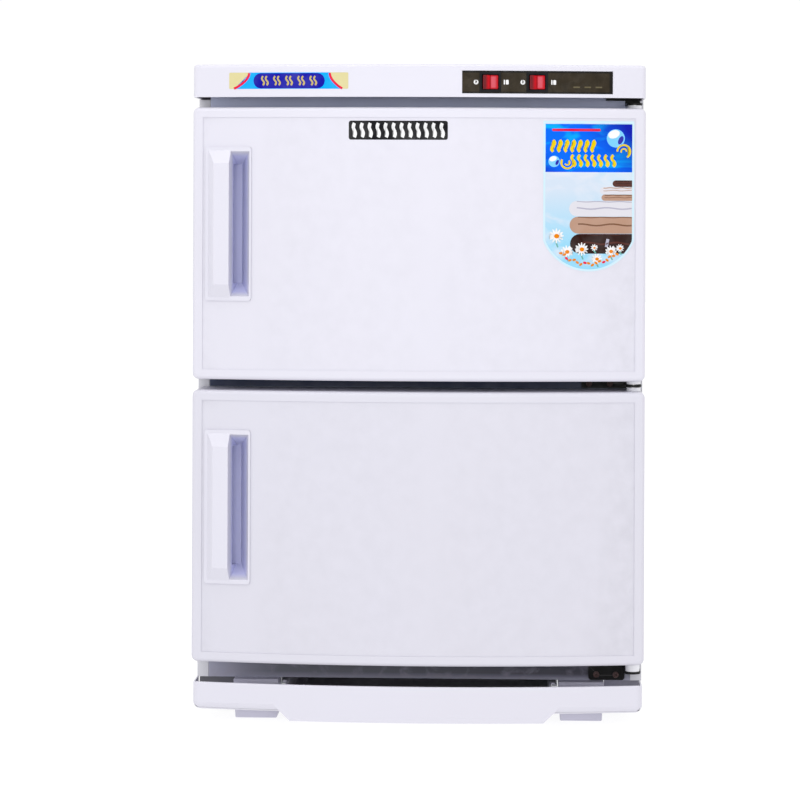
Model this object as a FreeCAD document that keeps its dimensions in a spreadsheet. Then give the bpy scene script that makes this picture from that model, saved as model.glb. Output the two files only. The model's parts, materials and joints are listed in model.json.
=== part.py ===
import FreeCAD, Part
import math
import os
import re
import Sketcher
from FreeCAD import Placement, Rotation, Vector

# Hot towel cabinet with two insulated chambers, one above the other.
# Frame: +Z up, the bowed fronts of the doors face -Y, and the origin is the centre of the footprint.
# All lengths are in millimetres.

DIMENSIONS = {
    # whole cabinet
    "width": 450, "depth": 380, "height": 658, "bow_radius": 1275.6,
    # painted steel case
    "case_bottom": 39.5, "case_top": 625, "case_front": -117, "case_back": 180, "sheet": 1.2,
    "return_width": 11.2, "frame_thick": 8,
    # top cover and what is let into its front
    "cover_lip": 3.4, "cover_bottom": 625.5, "cover_side_gap": 0.25, "cover_back": 182, "cover_wall": 2.5,
    "cover_round": 4.5,
    "panel_left": 43.3, "panel_right": 191.7, "panel_bottom": 629.3, "panel_top": 651.4,
    "panel_thick": 1, "panel_sink": 0.2,
    # switches
    "heat_switch_x": 70.8, "uv_switch_x": 117, "switch_z": 640.3, "bezel_half_w": 10.6, "bezel_half_h": 10,
    "switch_half_w": 9.4, "switch_half_h": 8.8, "switch_deep": 18, "blade_end": 25, "well_half_w": 8.2,
    "well_half_h": 7.4, "well_deep": 7, "rocker_half_w": 7.5, "rocker_half_h": 7, "rocker_face": 3.2,
    "rocker_root": 2, "rocker_pivot": 3, "rocker_lean": 6,
    # doors
    "door_height": 270.6, "lower_door_z": 63.7, "upper_door_z": 344.8, "door_back": -120,
    "door_wall": 3, "door_corner": 6, "door_round": 4, "field_inset": 10, "field_sink": 0.7,
    "hinge_stile": 23, "liner_thick": 3.5, "liner_sink": 2,
    # hinges
    "pin_x": 214.5, "pin_y": -150, "pin_radius": 3, "pin_clearance": 0.06, "bush_radius": 4.5,
    "boss_radius": 7, "boss_high": 3.6, "low_boss_high": 8.7, "leaf_gap": 0.4, "leaf_thick": 2,
    "bush_stem": 8,
    # handles
    "handle_x": -188.85, "handle_lift": 154.8, "flange_half_u": 23.4, "flange_half_w": 76.35,
    "flange_thick": 1.4, "cup_depth": 30, "cup_floor": 27, "grip_edge": 2.6, "grip_proud": 9,
    "cup_left": -22, "cup_right": 22.6, "cup_half_w": 75.4, "grip_foot": -20.7, "grip_foot_half_w": 73.6,
    "crest_left": -13, "crest_half_w": 60.2, "mouth_right": 21.6, "mouth_half_w": 72, "floor_right": 7.2,
    "floor_half_w": 59.4, "undercut_start": 9, "undercut_left": -18,
    # chambers
    "chamber_half_x": 180, "chamber_lift": 23.3, "chamber_high": 224, "chamber_back": 159, "skin": 1,
    "gasket_inset": 10, "gasket_width": 12, "gasket_gap": 0.4,
    # drip tray and feet
    "tray_half_x": 223.5, "tray_top": 43.7, "tray_side_bottom": 16, "tray_deep_bottom": 8,
    "tray_deep_x": 125.5, "tray_body_x": 134, "tray_wall": 2.2, "trough_back": -136, "tray_end": 60,
    "tray_rim_top": 36, "tray_lip_round": 1.7, "tray_corner": 7.9, "skirt_bottom": 28,
    "foot_inner": 141, "foot_width": 46, "foot_depth": 46, "foot_front": -130, "foot_rear": 118,
    "foot_taper": 2,
    # cable gland, rear screws and what stands under the cover
    "gland_x": -120, "gland_z": 641, "gland_bore": 4.1, "rear_screw_x": 218, "tab_screw_z": 636,
    "tab_half": 9, "post_x": 165, "post_radius": 5, "vent_pitch": 8, "vent_low": 634, "vent_high": 650,
    # racks, lamp and sensors
    "rail_lift": 8, "rail_reach": 9, "rail_thick": 3, "rack_rim": 2.5, "rack_wire": 1.4, "rack_side_gap": 6,
    "lamp_half": 106, "lamp_radius": 7.5, "lamp_y": 140, "lamp_drop": 20, "sensor_lift": 150, "sensor_x": 95,
    # screws
    "screw_radius": 1.6, "screw_head": 3.2, "screw_head_high": 1.6, "screw_length": 7,
}

DOC = FreeCAD.newDocument("HotTowelCabinet")
SHEET = DOC.addObject("Spreadsheet::Sheet", "Dims")
for row, (alias, size) in enumerate(DIMENSIONS.items(), start=1):
    SHEET.set(f"A{row}", alias)
    SHEET.set(f"B{row}", str(size))
    SHEET.setAlias(f"B{row}", alias)
DOC.recompute()

NODES = []
X_AXIS = Vector(1, 0, 0)
Y_AXIS = Vector(0, 1, 0)
Z_AXIS = Vector(0, 0, 1)
PAST = 5  # how far a cutting tool runs past the face that it opens


# ---------------------------------------------------------------- helpers

def bound(text):
    """'width / 2' becomes the sheet expression 'Dims.width / 2'."""
    def named(match):
        word = match.group(0)
        return "Dims." + word if word in DIMENSIONS else word
    return re.sub(r"[a-z_][a-z_0-9]*", named, str(text))


def number(text):
    """The value of an expression of the sheet's names."""
    result = SHEET.evalExpression(bound(text))
    return float(getattr(result, "Value", result))


def put(piece, prop, text):
    piece.setExpression(prop, bound(text))


def node(label, piece):
    """Register a finished sub-part under the name of its file."""
    piece.Label = label
    NODES.append(piece)
    return piece


def box(name, x, y, z):
    """A block between a low and a high expression on each axis."""
    piece = DOC.addObject("Part::Box", name)
    for prop, axis, (low, high) in (("Length", "x", x), ("Width", "y", y), ("Height", "z", z)):
        put(piece, prop, f"({high}) - ({low})")
        put(piece, f"Placement.Base.{axis}", low)
    return piece


def rod(name, radius, start, length, axis=Z_AXIS):
    """A cylinder from a start point, given as three expressions, along an axis."""
    piece = DOC.addObject("Part::Cylinder", name)
    piece.Placement = Placement(Vector(), Rotation(Z_AXIS, axis))
    put(piece, "Radius", radius)
    put(piece, "Height", length)
    for direction, text in zip("xyz", start):
        put(piece, f"Placement.Base.{direction}", text)
    return piece


def framed_box(name, frame, u, v, w):
    """A block in a local frame: u along the surface, v into the cabinet, w up."""
    piece = DOC.addObject("Part::Box", name)
    for prop, (low, high) in (("Length", u), ("Width", v), ("Height", w)):
        put(piece, prop, f"({high}) - ({low})")
    corner = Vector(number(u[0]), number(v[0]), number(w[0]))
    piece.Placement = frame.multiply(Placement(corner, Rotation()))
    return piece


def fuse(name, pieces):
    joined = DOC.addObject("Part::MultiFuse", name)
    joined.Shapes = pieces
    return joined


def cut(name, base, tools):
    """Take one or more tools away from a base."""
    piece = DOC.addObject("Part::Cut", name)
    piece.Base = base
    piece.Tool = tools[0] if len(tools) == 1 else fuse(name + "Tools", tools)
    return piece


def group(name, pieces):
    """Separate solids that share one node."""
    together = DOC.addObject("Part::Compound", name)
    together.Links = pieces
    return together


def sketch_on(body, name, role, offset):
    """A sketch on one of the body's own origin planes, moved along its normal."""
    sketch = body.newObject("Sketcher::SketchObject", name)
    plane = [feature for feature in body.Origin.OriginFeatures if feature.Role == role][0]
    sketch.AttachmentSupport = [(plane, "")]
    sketch.MapMode = "FlatFace"
    put(sketch, "AttachmentOffset.Base.z", offset)
    return sketch


def tie(sketch, label, constraint, text):
    """Add a named constraint and bind it to the sheet."""
    index = sketch.addConstraint(constraint)
    sketch.renameConstraint(index, label)
    if text is not None:
        put(sketch, "Constraints." + label, text)


def polygon(body, name, role, offset, points):
    """A closed outline of straight lines through points given as expression pairs."""
    sketch = sketch_on(body, name, role, offset)
    corners = [Vector(number(across), number(up), 0) for across, up in points]
    count = len(corners)
    for index in range(count):
        line = Part.LineSegment(corners[index], corners[(index + 1) % count])
        sketch.addGeometry(line, False)
    for index in range(count):
        sketch.addConstraint(Sketcher.Constraint("Coincident", index, 2, (index + 1) % count, 1))
    for index, (across, up) in enumerate(points):
        corner = corners[index]
        tie(sketch, f"across_{index}", Sketcher.Constraint("DistanceX", -1, 1, index, 1, corner.x), across)
        tie(sketch, f"up_{index}", Sketcher.Constraint("DistanceY", -1, 1, index, 1, corner.y), up)
    return sketch


def rectangle(body, name, role, offset, across, up):
    (left, right), (low, high) = across, up
    return polygon(body, name, role, offset, [(left, low), (right, low), (right, high), (left, high)])


def bowed(body, name, lift, x, back, inset):
    """Plan outline with the cabinet's bowed front, moved inwards by an inset."""
    sketch = sketch_on(body, name, "XY_Plane", lift)
    low, high = number(x[0]), number(x[1])
    line_y = number(back)
    radius = number(f"bow_radius - ({inset})")
    centre_y = number("bow_radius - depth / 2")
    front_low = Vector(low, centre_y - math.sqrt(radius ** 2 - low ** 2), 0)
    front_high = Vector(high, centre_y - math.sqrt(radius ** 2 - high ** 2), 0)
    back_low = Vector(low, line_y, 0)
    back_high = Vector(high, line_y, 0)
    angle_low = math.atan2(front_low.y - centre_y, low)
    angle_high = math.atan2(front_high.y - centre_y, high)
    circle = Part.Circle(Vector(0, centre_y, 0), Z_AXIS, radius)
    sketch.addGeometry(Part.LineSegment(back_low, back_high), False)
    sketch.addGeometry(Part.LineSegment(back_high, front_high), False)
    sketch.addGeometry(Part.ArcOfCircle(circle, angle_low, angle_high), False)
    sketch.addGeometry(Part.LineSegment(front_low, back_low), False)
    for joint in ((0, 2, 1, 1), (1, 2, 2, 2), (2, 1, 3, 1), (3, 2, 0, 1)):
        sketch.addConstraint(Sketcher.Constraint("Coincident", *joint))
    for kind, line in (("Horizontal", 0), ("Vertical", 1), ("Vertical", 3)):
        sketch.addConstraint(Sketcher.Constraint(kind, line))
    tie(sketch, "x_low", Sketcher.Constraint("DistanceX", -1, 1, 0, 1, low), x[0])
    tie(sketch, "x_high", Sketcher.Constraint("DistanceX", -1, 1, 0, 2, high), x[1])
    tie(sketch, "back", Sketcher.Constraint("DistanceY", -1, 1, 0, 1, line_y), back)
    tie(sketch, "centre_x", Sketcher.Constraint("DistanceX", -1, 1, 2, 3, 0.0), None)
    tie(sketch, "centre_y", Sketcher.Constraint("DistanceY", -1, 1, 2, 3, centre_y), "bow_radius - depth / 2")
    tie(sketch, "front", Sketcher.Constraint("Radius", 2, radius), f"bow_radius - ({inset})")
    return sketch


def new_body(name):
    return DOC.addObject("PartDesign::Body", name)


def pad(body, sketch, length, reverse=False):
    feature = body.newObject("PartDesign::Pad", sketch.Name + "Pad")
    feature.Profile = sketch
    feature.Reversed = reverse
    put(feature, "Length", length)
    return feature


def pocket(body, sketch, length, reverse=False):
    """A pocket that has to take material away."""
    DOC.recompute()
    before = body.Shape.Volume
    feature = body.newObject("PartDesign::Pocket", sketch.Name + "Pocket")
    feature.Profile = sketch
    feature.Reversed = reverse
    put(feature, "Length", length)
    DOC.recompute()
    if body.Shape.Volume > before - 1:
        raise RuntimeError(f"{feature.Name} cuts nothing")
    return feature


def round_edges(body, radius, wanted):
    """Fillet the edges of the body's tip that a test picks out."""
    DOC.recompute()
    tip = body.Tip
    names = [f"Edge{index}" for index, edge in enumerate(tip.Shape.Edges, start=1) if wanted(edge)]
    feature = body.newObject("PartDesign::Fillet", tip.Name + "Round")
    feature.Base = (tip, names)
    put(feature, "Radius", radius)
    DOC.recompute()
    return feature


def runs_along(edge, axis):
    return isinstance(edge.Curve, Part.Line) and abs(edge.Curve.Direction.dot(axis)) > 0.999


def near(value, text, slack=0.05):
    return abs(value - number(text)) < slack


def surface_frame(x, inset, z):
    """Local frame on the bowed front: u to the right, v into the cabinet, w up."""
    across = number(x)
    radius = number(f"bow_radius - ({inset})")
    y = number("bow_radius - depth / 2") - math.sqrt(radius ** 2 - across ** 2)
    turn = math.degrees(math.asin(across / radius))
    return Placement(Vector(across, y, number(z)), Rotation(Z_AXIS, turn))


def screw(name, at, axis):
    """A pan-head screw: the head stands on the surface at a point, and the shank goes in against the axis."""
    x, y, z = at
    down = axis * -1
    head = rod(name + "Head", "screw_head", (x, y, z), "screw_head_high", axis)
    shank = rod(name + "Shank", "screw_radius", (x, y, z), "screw_length", down)
    return fuse(name, [head, shank])


def screw_holes(name, places, axis, reach="screw_length"):
    """Clearance holes for screws, from just above the surface to past their tips."""
    tools = []
    for index, at in enumerate(places):
        start = [f"({text}) + ({component * PAST})" for text, component in zip(at, axis)]
        length = f"{reach} + {PAST} + 0.5"
        tools.append(rod(f"{name}{index}", "screw_radius + 0.1", start, length, axis * -1))
    return tools


def routed(name, points, radius, bend):
    """A round wire along straight runs joined by tangent arcs."""
    corners = [Vector(*point) for point in points]
    edges = []
    start = corners[0]
    for index in range(1, len(corners) - 1):
        corner = corners[index]
        arriving = (corner - corners[index - 1]).normalize()
        leaving = (corners[index + 1] - corner).normalize()
        turn = arriving.getAngle(leaving)
        reach = bend * math.tan(turn / 2)
        arc_start = corner - arriving * reach
        arc_end = corner + leaving * reach
        inward = (leaving - arriving).normalize()
        middle = corner + inward * (bend / math.cos(turn / 2) - bend)
        edges.append(Part.LineSegment(start, arc_start).toShape())
        edges.append(Part.Arc(arc_start, middle, arc_end).toShape())
        start = arc_end
    edges.append(Part.LineSegment(start, corners[-1]).toShape())
    section = Part.Wire(Part.Circle(corners[0], corners[1] - corners[0], radius).toShape())
    piece = DOC.addObject("Part::Feature", name)
    piece.Shape = Part.Wire(edges).makePipeShell([section], True, True)
    return piece


# ---------------------------------------------------------------- painted steel case

def side_panel(label, side):
    """Folded steel side with a return at the front and at the back."""
    body = new_body(label + "Body")
    outer = f"{side} * width / 2"
    inner = f"{side} * (width / 2 - sheet)"
    tip = f"{side} * (width / 2 - return_width)"
    back = "case_back - sheet"
    outline = [
        (outer, "case_front"), (outer, back), (tip, back), (tip, "case_back - 2 * sheet"),
        (inner, "case_back - 2 * sheet"), (inner, "case_front + sheet"), (tip, "case_front + sheet"),
        (tip, "case_front"),
    ]
    sketch = polygon(body, label + "Plan", "XY_Plane", "case_bottom", outline)
    pad(body, sketch, "case_top - case_bottom")
    node(label, cut(label + "Drilled", body, screw_holes(label + "Hole", rear_screw_places(), Y_AXIS)))


def rear_screw_places():
    """Two columns of four screws near the edges of the rear panel."""
    rows = ("60", "240", "420", "600")
    return [(f"{side} * rear_screw_x", "case_back", row) for side in (-1, 1) for row in rows]


def rear_panel():
    plate = box("RearPlate", ("-width / 2 + 0.5", "width / 2 - 0.5"), ("case_back - sheet", "case_back"),
                ("case_bottom", "case_top - 1.6"))
    node("rear_panel", cut("RearPanel", plate, screw_holes("RearHole", rear_screw_places(), Y_AXIS)))
    screws = [screw(f"RearScrew{index}", at, Y_AXIS) for index, at in enumerate(rear_screw_places())]
    node("rear_panel_screws", group("RearScrews", screws))


def base_pan():
    """Floor sheet with turned-up sides, and a skirt turned down in front beside each foot."""
    inner = "width / 2 - sheet - 0.2"
    plate = box("BasePlate", (f"-({inner})", inner), ("case_front + frame_thick + 0.2", "case_back - 2.6"),
                ("case_bottom", "case_bottom + sheet"))
    front = "case_front + frame_thick + 0.2"
    flanges = []
    for side, name in ((-1, "Left"), (1, "Right")):
        low, high = sorted((f"{side} * ({inner})", f"{side} * ({inner} - sheet)"), key=number)
        flanges.append(box("BaseFlange" + name, (low, high), (front, "case_back - 14"),
                           ("case_bottom", "case_bottom + 12")))
        skirt = sorted((f"{side} * ({inner})", f"{side} * (foot_inner + foot_width + 0.6)"), key=number)
        flanges.append(box("BaseSkirt" + name, skirt, (front, f"{front} + sheet"),
                           ("skirt_bottom", "case_bottom + sheet")))
    pan = fuse("BaseFolded", [plate] + flanges)
    node("base_pan", cut("BasePan", pan, screw_holes("BaseHole", foot_screw_places(), Z_AXIS * -1, "12")))


def cover_tab_places():
    """Four screws through the back of the cover into the tabs of the top panel."""
    return [(x, "cover_back", "tab_screw_z") for x in ("-185", "-60", "60", "185")]


def top_panel():
    """Roof sheet of the case, with turned-up tabs that hold the cover."""
    inner = "width / 2 - sheet - 0.2"
    plate = box("TopPlate", (f"-({inner})", inner), ("case_front + frame_thick + 0.2", "case_back - 2.6"),
                ("case_top - sheet", "case_top"))
    pieces = [plate]
    for index, (x, _, z) in enumerate(cover_tab_places()):
        foot_of_tab = box(f"TabFoot{index}", (f"{x} - tab_half", f"{x} + tab_half"),
                          ("case_back - 3", "cover_back - cover_wall"), ("case_top - sheet", "case_top"))
        upright = box(f"Tab{index}", (f"{x} - tab_half", f"{x} + tab_half"),
                      ("cover_back - cover_wall - sheet", "cover_back - cover_wall"),
                      ("case_top - sheet", f"{z} + 8"))
        pieces += [foot_of_tab, upright]
    holes = screw_holes("TabHole", cover_tab_places(), Y_AXIS)
    holes += screw_holes("TopHingeHole", top_hinge_screws(), Z_AXIS)
    holes.append(rod("WireHole", "6", ("60", "166", "case_top - 10"), "20"))
    node("top_panel", cut("TopPanel", fuse("TopFolded", pieces), holes))


def front_frame():
    """Front of the case: an opening for each chamber, and a lip that stands up under the cover."""
    body = new_body("FrontFrameBody")
    half = "width / 2 - return_width - 0.2"
    outline = rectangle(body, "FrameOutline", "XZ_Plane", "-case_front", (f"-({half})", half),
                        ("case_bottom", "case_top"))
    pad(body, outline, "frame_thick", True)
    for door in ("lower", "upper"):
        low = f"{door}_door_z + chamber_lift"
        opening = rectangle(body, f"Frame_{door}", "XZ_Plane", "-case_front",
                            ("-chamber_half_x", "chamber_half_x"), (low, f"{low} + chamber_high"))
        pocket(body, opening, "frame_thick")
    lip = rectangle(body, "FrameLip", "XZ_Plane", "-case_front", (f"-({half})", "187"),
                    ("case_top - 1", "case_top + cover_lip"))
    pad(body, lip, "frame_thick", True)
    places = middle_hinge_screws() + bottom_hinge_screws()
    holes = screw_holes("FrameHole", places, Y_AXIS * -1)
    node("front_frame", cut("FrontFrame", body, holes))


def centre_rail_trim():
    """Dark strip on the frame between the two doors, left of the middle hinge."""
    node("centre_rail_trim", box("CentreTrim", ("-width / 2 + return_width + 1", "163.3"),
                                 ("case_front - 1.5", "case_front"),
                                 ("lower_door_z + door_height + 0.6", "upper_door_z - 0.6")))


# ---------------------------------------------------------------- chambers

def chamber_liner(door):
    """Open-fronted aluminium box."""
    body = new_body(f"Liner_{door}")
    low = f"{door}_door_z + chamber_lift"
    front = "case_front + frame_thick"
    outside = rectangle(body, f"Liner_{door}_outside", "XZ_Plane", f"-({front})",
                        ("-chamber_half_x - skin", "chamber_half_x + skin"),
                        (f"{low} - skin", f"{low} + chamber_high + skin"))
    pad(body, outside, f"chamber_back + skin - ({front})", True)
    inside = rectangle(body, f"Liner_{door}_inside", "XZ_Plane", f"-({front})",
                       ("-chamber_half_x", "chamber_half_x"), (low, f"{low} + chamber_high"))
    pocket(body, inside, f"chamber_back - ({front})")
    node(f"{door}_chamber_liner", body)


def insulation():
    """Foam slabs round the chambers, with a wiring space behind them."""
    front = "case_front + frame_thick + 0.3"
    back = "chamber_back + skin"
    slab_bottom = "case_bottom + sheet + 1.3"
    slab_top = "case_top - sheet - 0.3"
    sides = []
    for side in (-1, 1):
        reach = sorted((f"{side} * (chamber_half_x + skin + 0.5)", f"{side} * (width / 2 - 3)"), key=number)
        sides.append(box("SideSlab", reach, (front, back), (slab_bottom, "case_top - 6")))
    node("side_insulation", group("SideInsulation", sides))
    across = ("-chamber_half_x - skin", "chamber_half_x + skin")
    pad_room = "skin + 1.6"
    lower_floor = "lower_door_z + chamber_lift"
    upper_floor = "upper_door_z + chamber_lift"
    levels = (
        (slab_bottom, f"{lower_floor} - ({pad_room})"),
        (f"{lower_floor} + chamber_high + skin + 0.2", f"{upper_floor} - ({pad_room})"),
        (f"{upper_floor} + chamber_high + skin + 0.2", slab_top),
    )
    slabs = [box("LevelSlab", across, (front, back), level) for level in levels]
    node("level_insulation", group("LevelInsulation", slabs))
    rear = box("RearSlab", ("-210", "210"), ("case_back - 8.5", "case_back - 2.8"), (slab_bottom, slab_top))
    node("rear_insulation", rear)


def heating_pad(door):
    """Flat foil heater under the floor of the chamber, with its wire tail block."""
    floor = f"{door}_door_z + chamber_lift - skin"
    sheet_pad = box("HeaterSheet", ("-150", "150"), ("-85", "125"), (f"{floor} - 1.2", floor))
    tail = box("HeaterTail", ("40", "60"), ("124", "158"), (f"{floor} - 1.2", floor))
    node(f"{door}_heating_pad", fuse("HeatingPad", [sheet_pad, tail]))


def thermostat(door):
    """Bimetal disc thermostat with two tabs, on the back of the chamber."""
    y = "chamber_back + skin"
    z = f"{door}_door_z + sensor_lift"
    cap = rod("ThermostatCap", "8.5", ("sensor_x", y, z), "3", Y_AXIS)
    case = rod("ThermostatCase", "7", ("sensor_x", f"{y} + 3", z), "4.5", Y_AXIS)
    tabs = [box("ThermostatTab", (f"sensor_x + {x} - 0.4", f"sensor_x + {x} + 0.4"),
                (f"{y} + 7", f"{y} + 11"), (f"{z} - 3", f"{z} + 3")) for x in (-4, 4)]
    node(f"{door}_thermostat", fuse("Thermostat", [cap, case] + tabs))


def thermal_fuses():
    """One over-temperature fuse per chamber, clipped to the back."""
    fuses = []
    for door in ("lower", "upper"):
        z = f"{door}_door_z + sensor_lift"
        barrel = rod("FuseBarrel", "2.5", ("-8", "chamber_back + skin + 2.5", z), "12", X_AXIS)
        leads = rod("FuseLead", "0.6", ("-22", "chamber_back + skin + 2.5", z), "40", X_AXIS)
        fuses.append(fuse("ThermalFuse", [barrel, leads]))
    node("thermal_fuses", group("ThermalFuses", fuses))


def rack_rails():
    """Ledges on the side walls of both chambers that carry the wire racks."""
    rails = []
    for door in ("lower", "upper"):
        low = f"{door}_door_z + chamber_lift + rail_lift"
        for side in (-1, 1):
            ends = (f"{side} * chamber_half_x", f"{side} * (chamber_half_x - rail_reach)")
            reach = sorted(ends, key=number)
            rails.append(box("RackRail", reach, ("-95", "125"), (low, f"{low} + rail_thick")))
    node("rack_rails", group("RackRails", rails))


def wire_rack(door):
    """Rim of thick wire with thin wires laid across it."""
    z = f"{door}_door_z + chamber_lift + rail_lift + rail_thick + rack_rim + 0.1"
    rim, wire = "rack_rim", "rack_wire"
    left, right = "-chamber_half_x + rack_side_gap", "chamber_half_x - rack_side_gap"
    front, back = "-98", "118"
    pieces = []
    for x in (left, right):
        pieces.append(rod("RackSide", rim, (x, front, z), f"({back}) - ({front})", Y_AXIS))
    for y in (front, back):
        pieces.append(rod("RackEnd", rim, (left, y, z), f"({right}) - ({left})", X_AXIS))
    for x in (left, right):
        for y in (front, back):
            corner = DOC.addObject("Part::Sphere", "RackCorner")
            put(corner, "Radius", rim)
            for axis, text in zip("xyz", (x, y, z)):
                put(corner, f"Placement.Base.{axis}", text)
            pieces.append(corner)
    wires = 17
    for index in range(1, wires):
        x = f"({left}) + (({right}) - ({left})) * {index} / {wires}"
        pieces.append(rod("RackWire", wire, (x, front, f"{z} + 2"), f"({back}) - ({front})", Y_AXIS))
    for share in ("1 / 3", "2 / 3"):
        y = f"({front}) + (({back}) - ({front})) * {share}"
        pieces.append(rod("RackBrace", wire, (left, y, z), f"({right}) - ({left})", X_AXIS))
    node(f"{door}_rack", fuse("WireRack", pieces))


def uv_lamp():
    """Tube, holders and wire guard at the top of the upper chamber's back wall."""
    y, z = "lamp_y", "upper_door_z + chamber_lift + chamber_high - lamp_drop"
    half = "lamp_half"
    glass = rod("LampGlass", "lamp_radius", (f"-{half}", y, z), f"2 * {half}", X_AXIS)
    caps = [rod("LampCap", "8", (x, y, z), "9", X_AXIS) for x in (f"-{half}", f"{half} - 9")]
    node("uv_lamp_tube", fuse("UvLamp", [glass] + caps))
    holders = []
    for side in (-1, 1):
        reach = sorted((f"{side} * ({half} + 0.1)", f"{side} * ({half} + 11)"), key=number)
        holders.append(box("LampHolder", reach, (f"{y} - 9.5", "chamber_back"),
                           (f"{z} - 10.5", f"{z} + 10.5")))
    node("uv_lamp_holders", group("LampHolders", holders))
    wire = 1
    y_front, y_back = number(y) - 14, number("chamber_back") - 0.05
    z_low, z_high = number(z) - 14, number(z) + 14
    hoops = []
    for x in (-90, -45, 0, 45, 90):
        route = [(x, y_back, z_low), (x, y_front, z_low), (x, y_front, z_high), (x, y_back, z_high)]
        hoops.append(routed("GuardHoop", route, wire, 6))
    bars = [rod("GuardBar", str(wire), ("-96", str(y_front), level), "192", X_AXIS)
            for level in (f"{z} - 6", f"{z} + 6")]
    node("uv_lamp_guard", fuse("LampGuard", hoops + bars))


# ---------------------------------------------------------------- top cover and electrics

def switch_frames():
    """Local frames of the two rockers on the cover's bowed front."""
    return {name: surface_frame(f"{name}_switch_x", "panel_sink", "switch_z") for name in ("heat", "uv")}


def switch_openings(depth):
    return [framed_box(f"Opening_{name}", frame, ("-9.6", "9.6"), (f"-{PAST}", depth), ("-9", "9"))
            for name, frame in switch_frames().items()]


def top_cover():
    """Moulded cover: a bowed tray upside down, with a recess for the control panel."""
    body = new_body("TopCoverBody")
    side = "width / 2 - cover_side_gap"
    outline = bowed(body, "CoverOutline", "cover_bottom", (f"-({side})", side), "cover_back", "0")
    pad(body, outline, "height - cover_bottom")
    round_edges(body, "cover_round", lambda edge: runs_along(edge, Z_AXIS))
    round_edges(body, "cover_round - 1", lambda edge: near(edge.BoundBox.ZMin, "height"))
    inner = f"{side} - cover_wall"
    hollow = bowed(body, "CoverHollow", "cover_bottom", (f"-({inner})", inner), "cover_back - cover_wall",
                   "cover_wall")
    pocket(body, hollow, "height - cover_wall - cover_bottom", True)
    recess = bowed(body, "CoverRecess", "panel_bottom - 0.3", ("panel_left - 0.3", "panel_right + 0.3"),
                   "-depth / 2 - 20", "panel_sink + panel_thick")
    pocket(body, recess, "panel_top - panel_bottom + 0.6", True)
    posts = []
    for x in ("-post_x", "post_x"):
        for y in ("-98", "160"):
            posts.append(rod("CoverPost", "post_radius", (x, y, "case_top"),
                             "height - cover_wall - case_top + 1"))
    tools = switch_openings("cover_wall + 3") + screw_holes("CoverHole", cover_tab_places(), Y_AXIS)
    tools.append(rod("GlandHole", "7.1", ("gland_x", "cover_back - 10", "gland_z"), "20", Y_AXIS))
    slots = 9
    for index in range(slots):
        x = f"{index - slots // 2} * vent_pitch"
        tools.append(box("VentSlot", (f"{x} - 1.5", f"{x} + 1.5"), ("cover_back - 6", "cover_back + 3"),
                         ("vent_low", "vent_high")))
    node("top_cover", cut("TopCover", fuse("CoverWithPosts", [body] + posts), tools))
    screws = [screw(f"CoverScrew{index}", at, Y_AXIS) for index, at in enumerate(cover_tab_places())]
    node("top_cover_screws", group("CoverScrews", screws))


def control_panel():
    """Thin glossy strip let into the cover, with a window for each switch."""
    body = new_body("ControlPanelBody")
    strip = bowed(body, "PanelStrip", "panel_bottom", ("panel_left", "panel_right"), "-depth / 2 + 30",
                  "panel_sink")
    pad(body, strip, "panel_top - panel_bottom")
    behind = bowed(body, "PanelBehind", "panel_bottom - 1", ("panel_left - 1", "panel_right + 1"),
                   "-depth / 2 + 31", "panel_sink + panel_thick")
    pocket(body, behind, "panel_top - panel_bottom + 2", True)
    node("control_panel", cut("ControlPanel", body, switch_openings("20")))


def switch(name):
    """Rocker switch: a housing with a bezel, and a rocker that turns about a vertical axis."""
    frame = switch_frames()[name]
    bezel = framed_box("Bezel", frame, ("-bezel_half_w", "bezel_half_w"), ("-1", "0"),
                       ("-bezel_half_h", "bezel_half_h"))
    case = framed_box("SwitchCase", frame, ("-switch_half_w", "switch_half_w"), ("-0.5", "switch_deep"),
                      ("-switch_half_h", "switch_half_h"))
    blades = [framed_box("Blade", frame, (f"{u} - 2.4", f"{u} + 2.4"), ("switch_deep - 1", "blade_end"),
                         ("-0.4", "0.4")) for u in (-5, 5)]
    well = framed_box("SwitchWell", frame, ("-well_half_w", "well_half_w"), (f"-{PAST}", "well_deep"),
                      ("-well_half_h", "well_half_h"))
    block = fuse("SwitchBlock", [bezel, case] + blades)
    node(f"{name}_switch_housing", cut("SwitchHousing", block, [well]))
    rocker = new_body(f"{name}Rocker")
    crest = "-rocker_face - rocker_half_w * tan(rocker_lean * 1 deg)"
    outline = [("-rocker_half_w", "rocker_root"), ("-rocker_half_w", crest), ("0", "-rocker_face"),
               ("rocker_half_w", crest), ("rocker_half_w", "rocker_root")]
    sketch = polygon(rocker, f"{name}RockerPlan", "XY_Plane", "-rocker_half_h", outline)
    pad(rocker, sketch, "2 * rocker_half_h")
    lean = Rotation(Z_AXIS, number("rocker_lean"))
    rocker.Placement = frame.multiply(Placement(Vector(0, number("rocker_pivot"), 0), lean))
    node(f"{name}_switch_rocker", rocker)


def cable_gland():
    """Flanged gland through the back of the cover, with its nut inside."""
    x, z = "gland_x", "gland_z"
    flange = rod("GlandFlange", "10", (x, "cover_back", z), "3", Y_AXIS)
    neck = rod("GlandNeck", "8", (x, "cover_back", z), "depth / 2 - cover_back", Y_AXIS)
    shank = rod("GlandShank", "7", (x, "cover_back - 10", z), "12", Y_AXIS)
    nut = rod("GlandNut", "9.5", (x, "cover_back - cover_wall - 4", z), "4", Y_AXIS)
    bore = rod("GlandBore", "gland_bore", (x, "cover_back - 12", z), "30", Y_AXIS)
    node("cable_gland", cut("CableGland", fuse("GlandSolid", [flange, neck, shank, nut]), [bore]))


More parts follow.
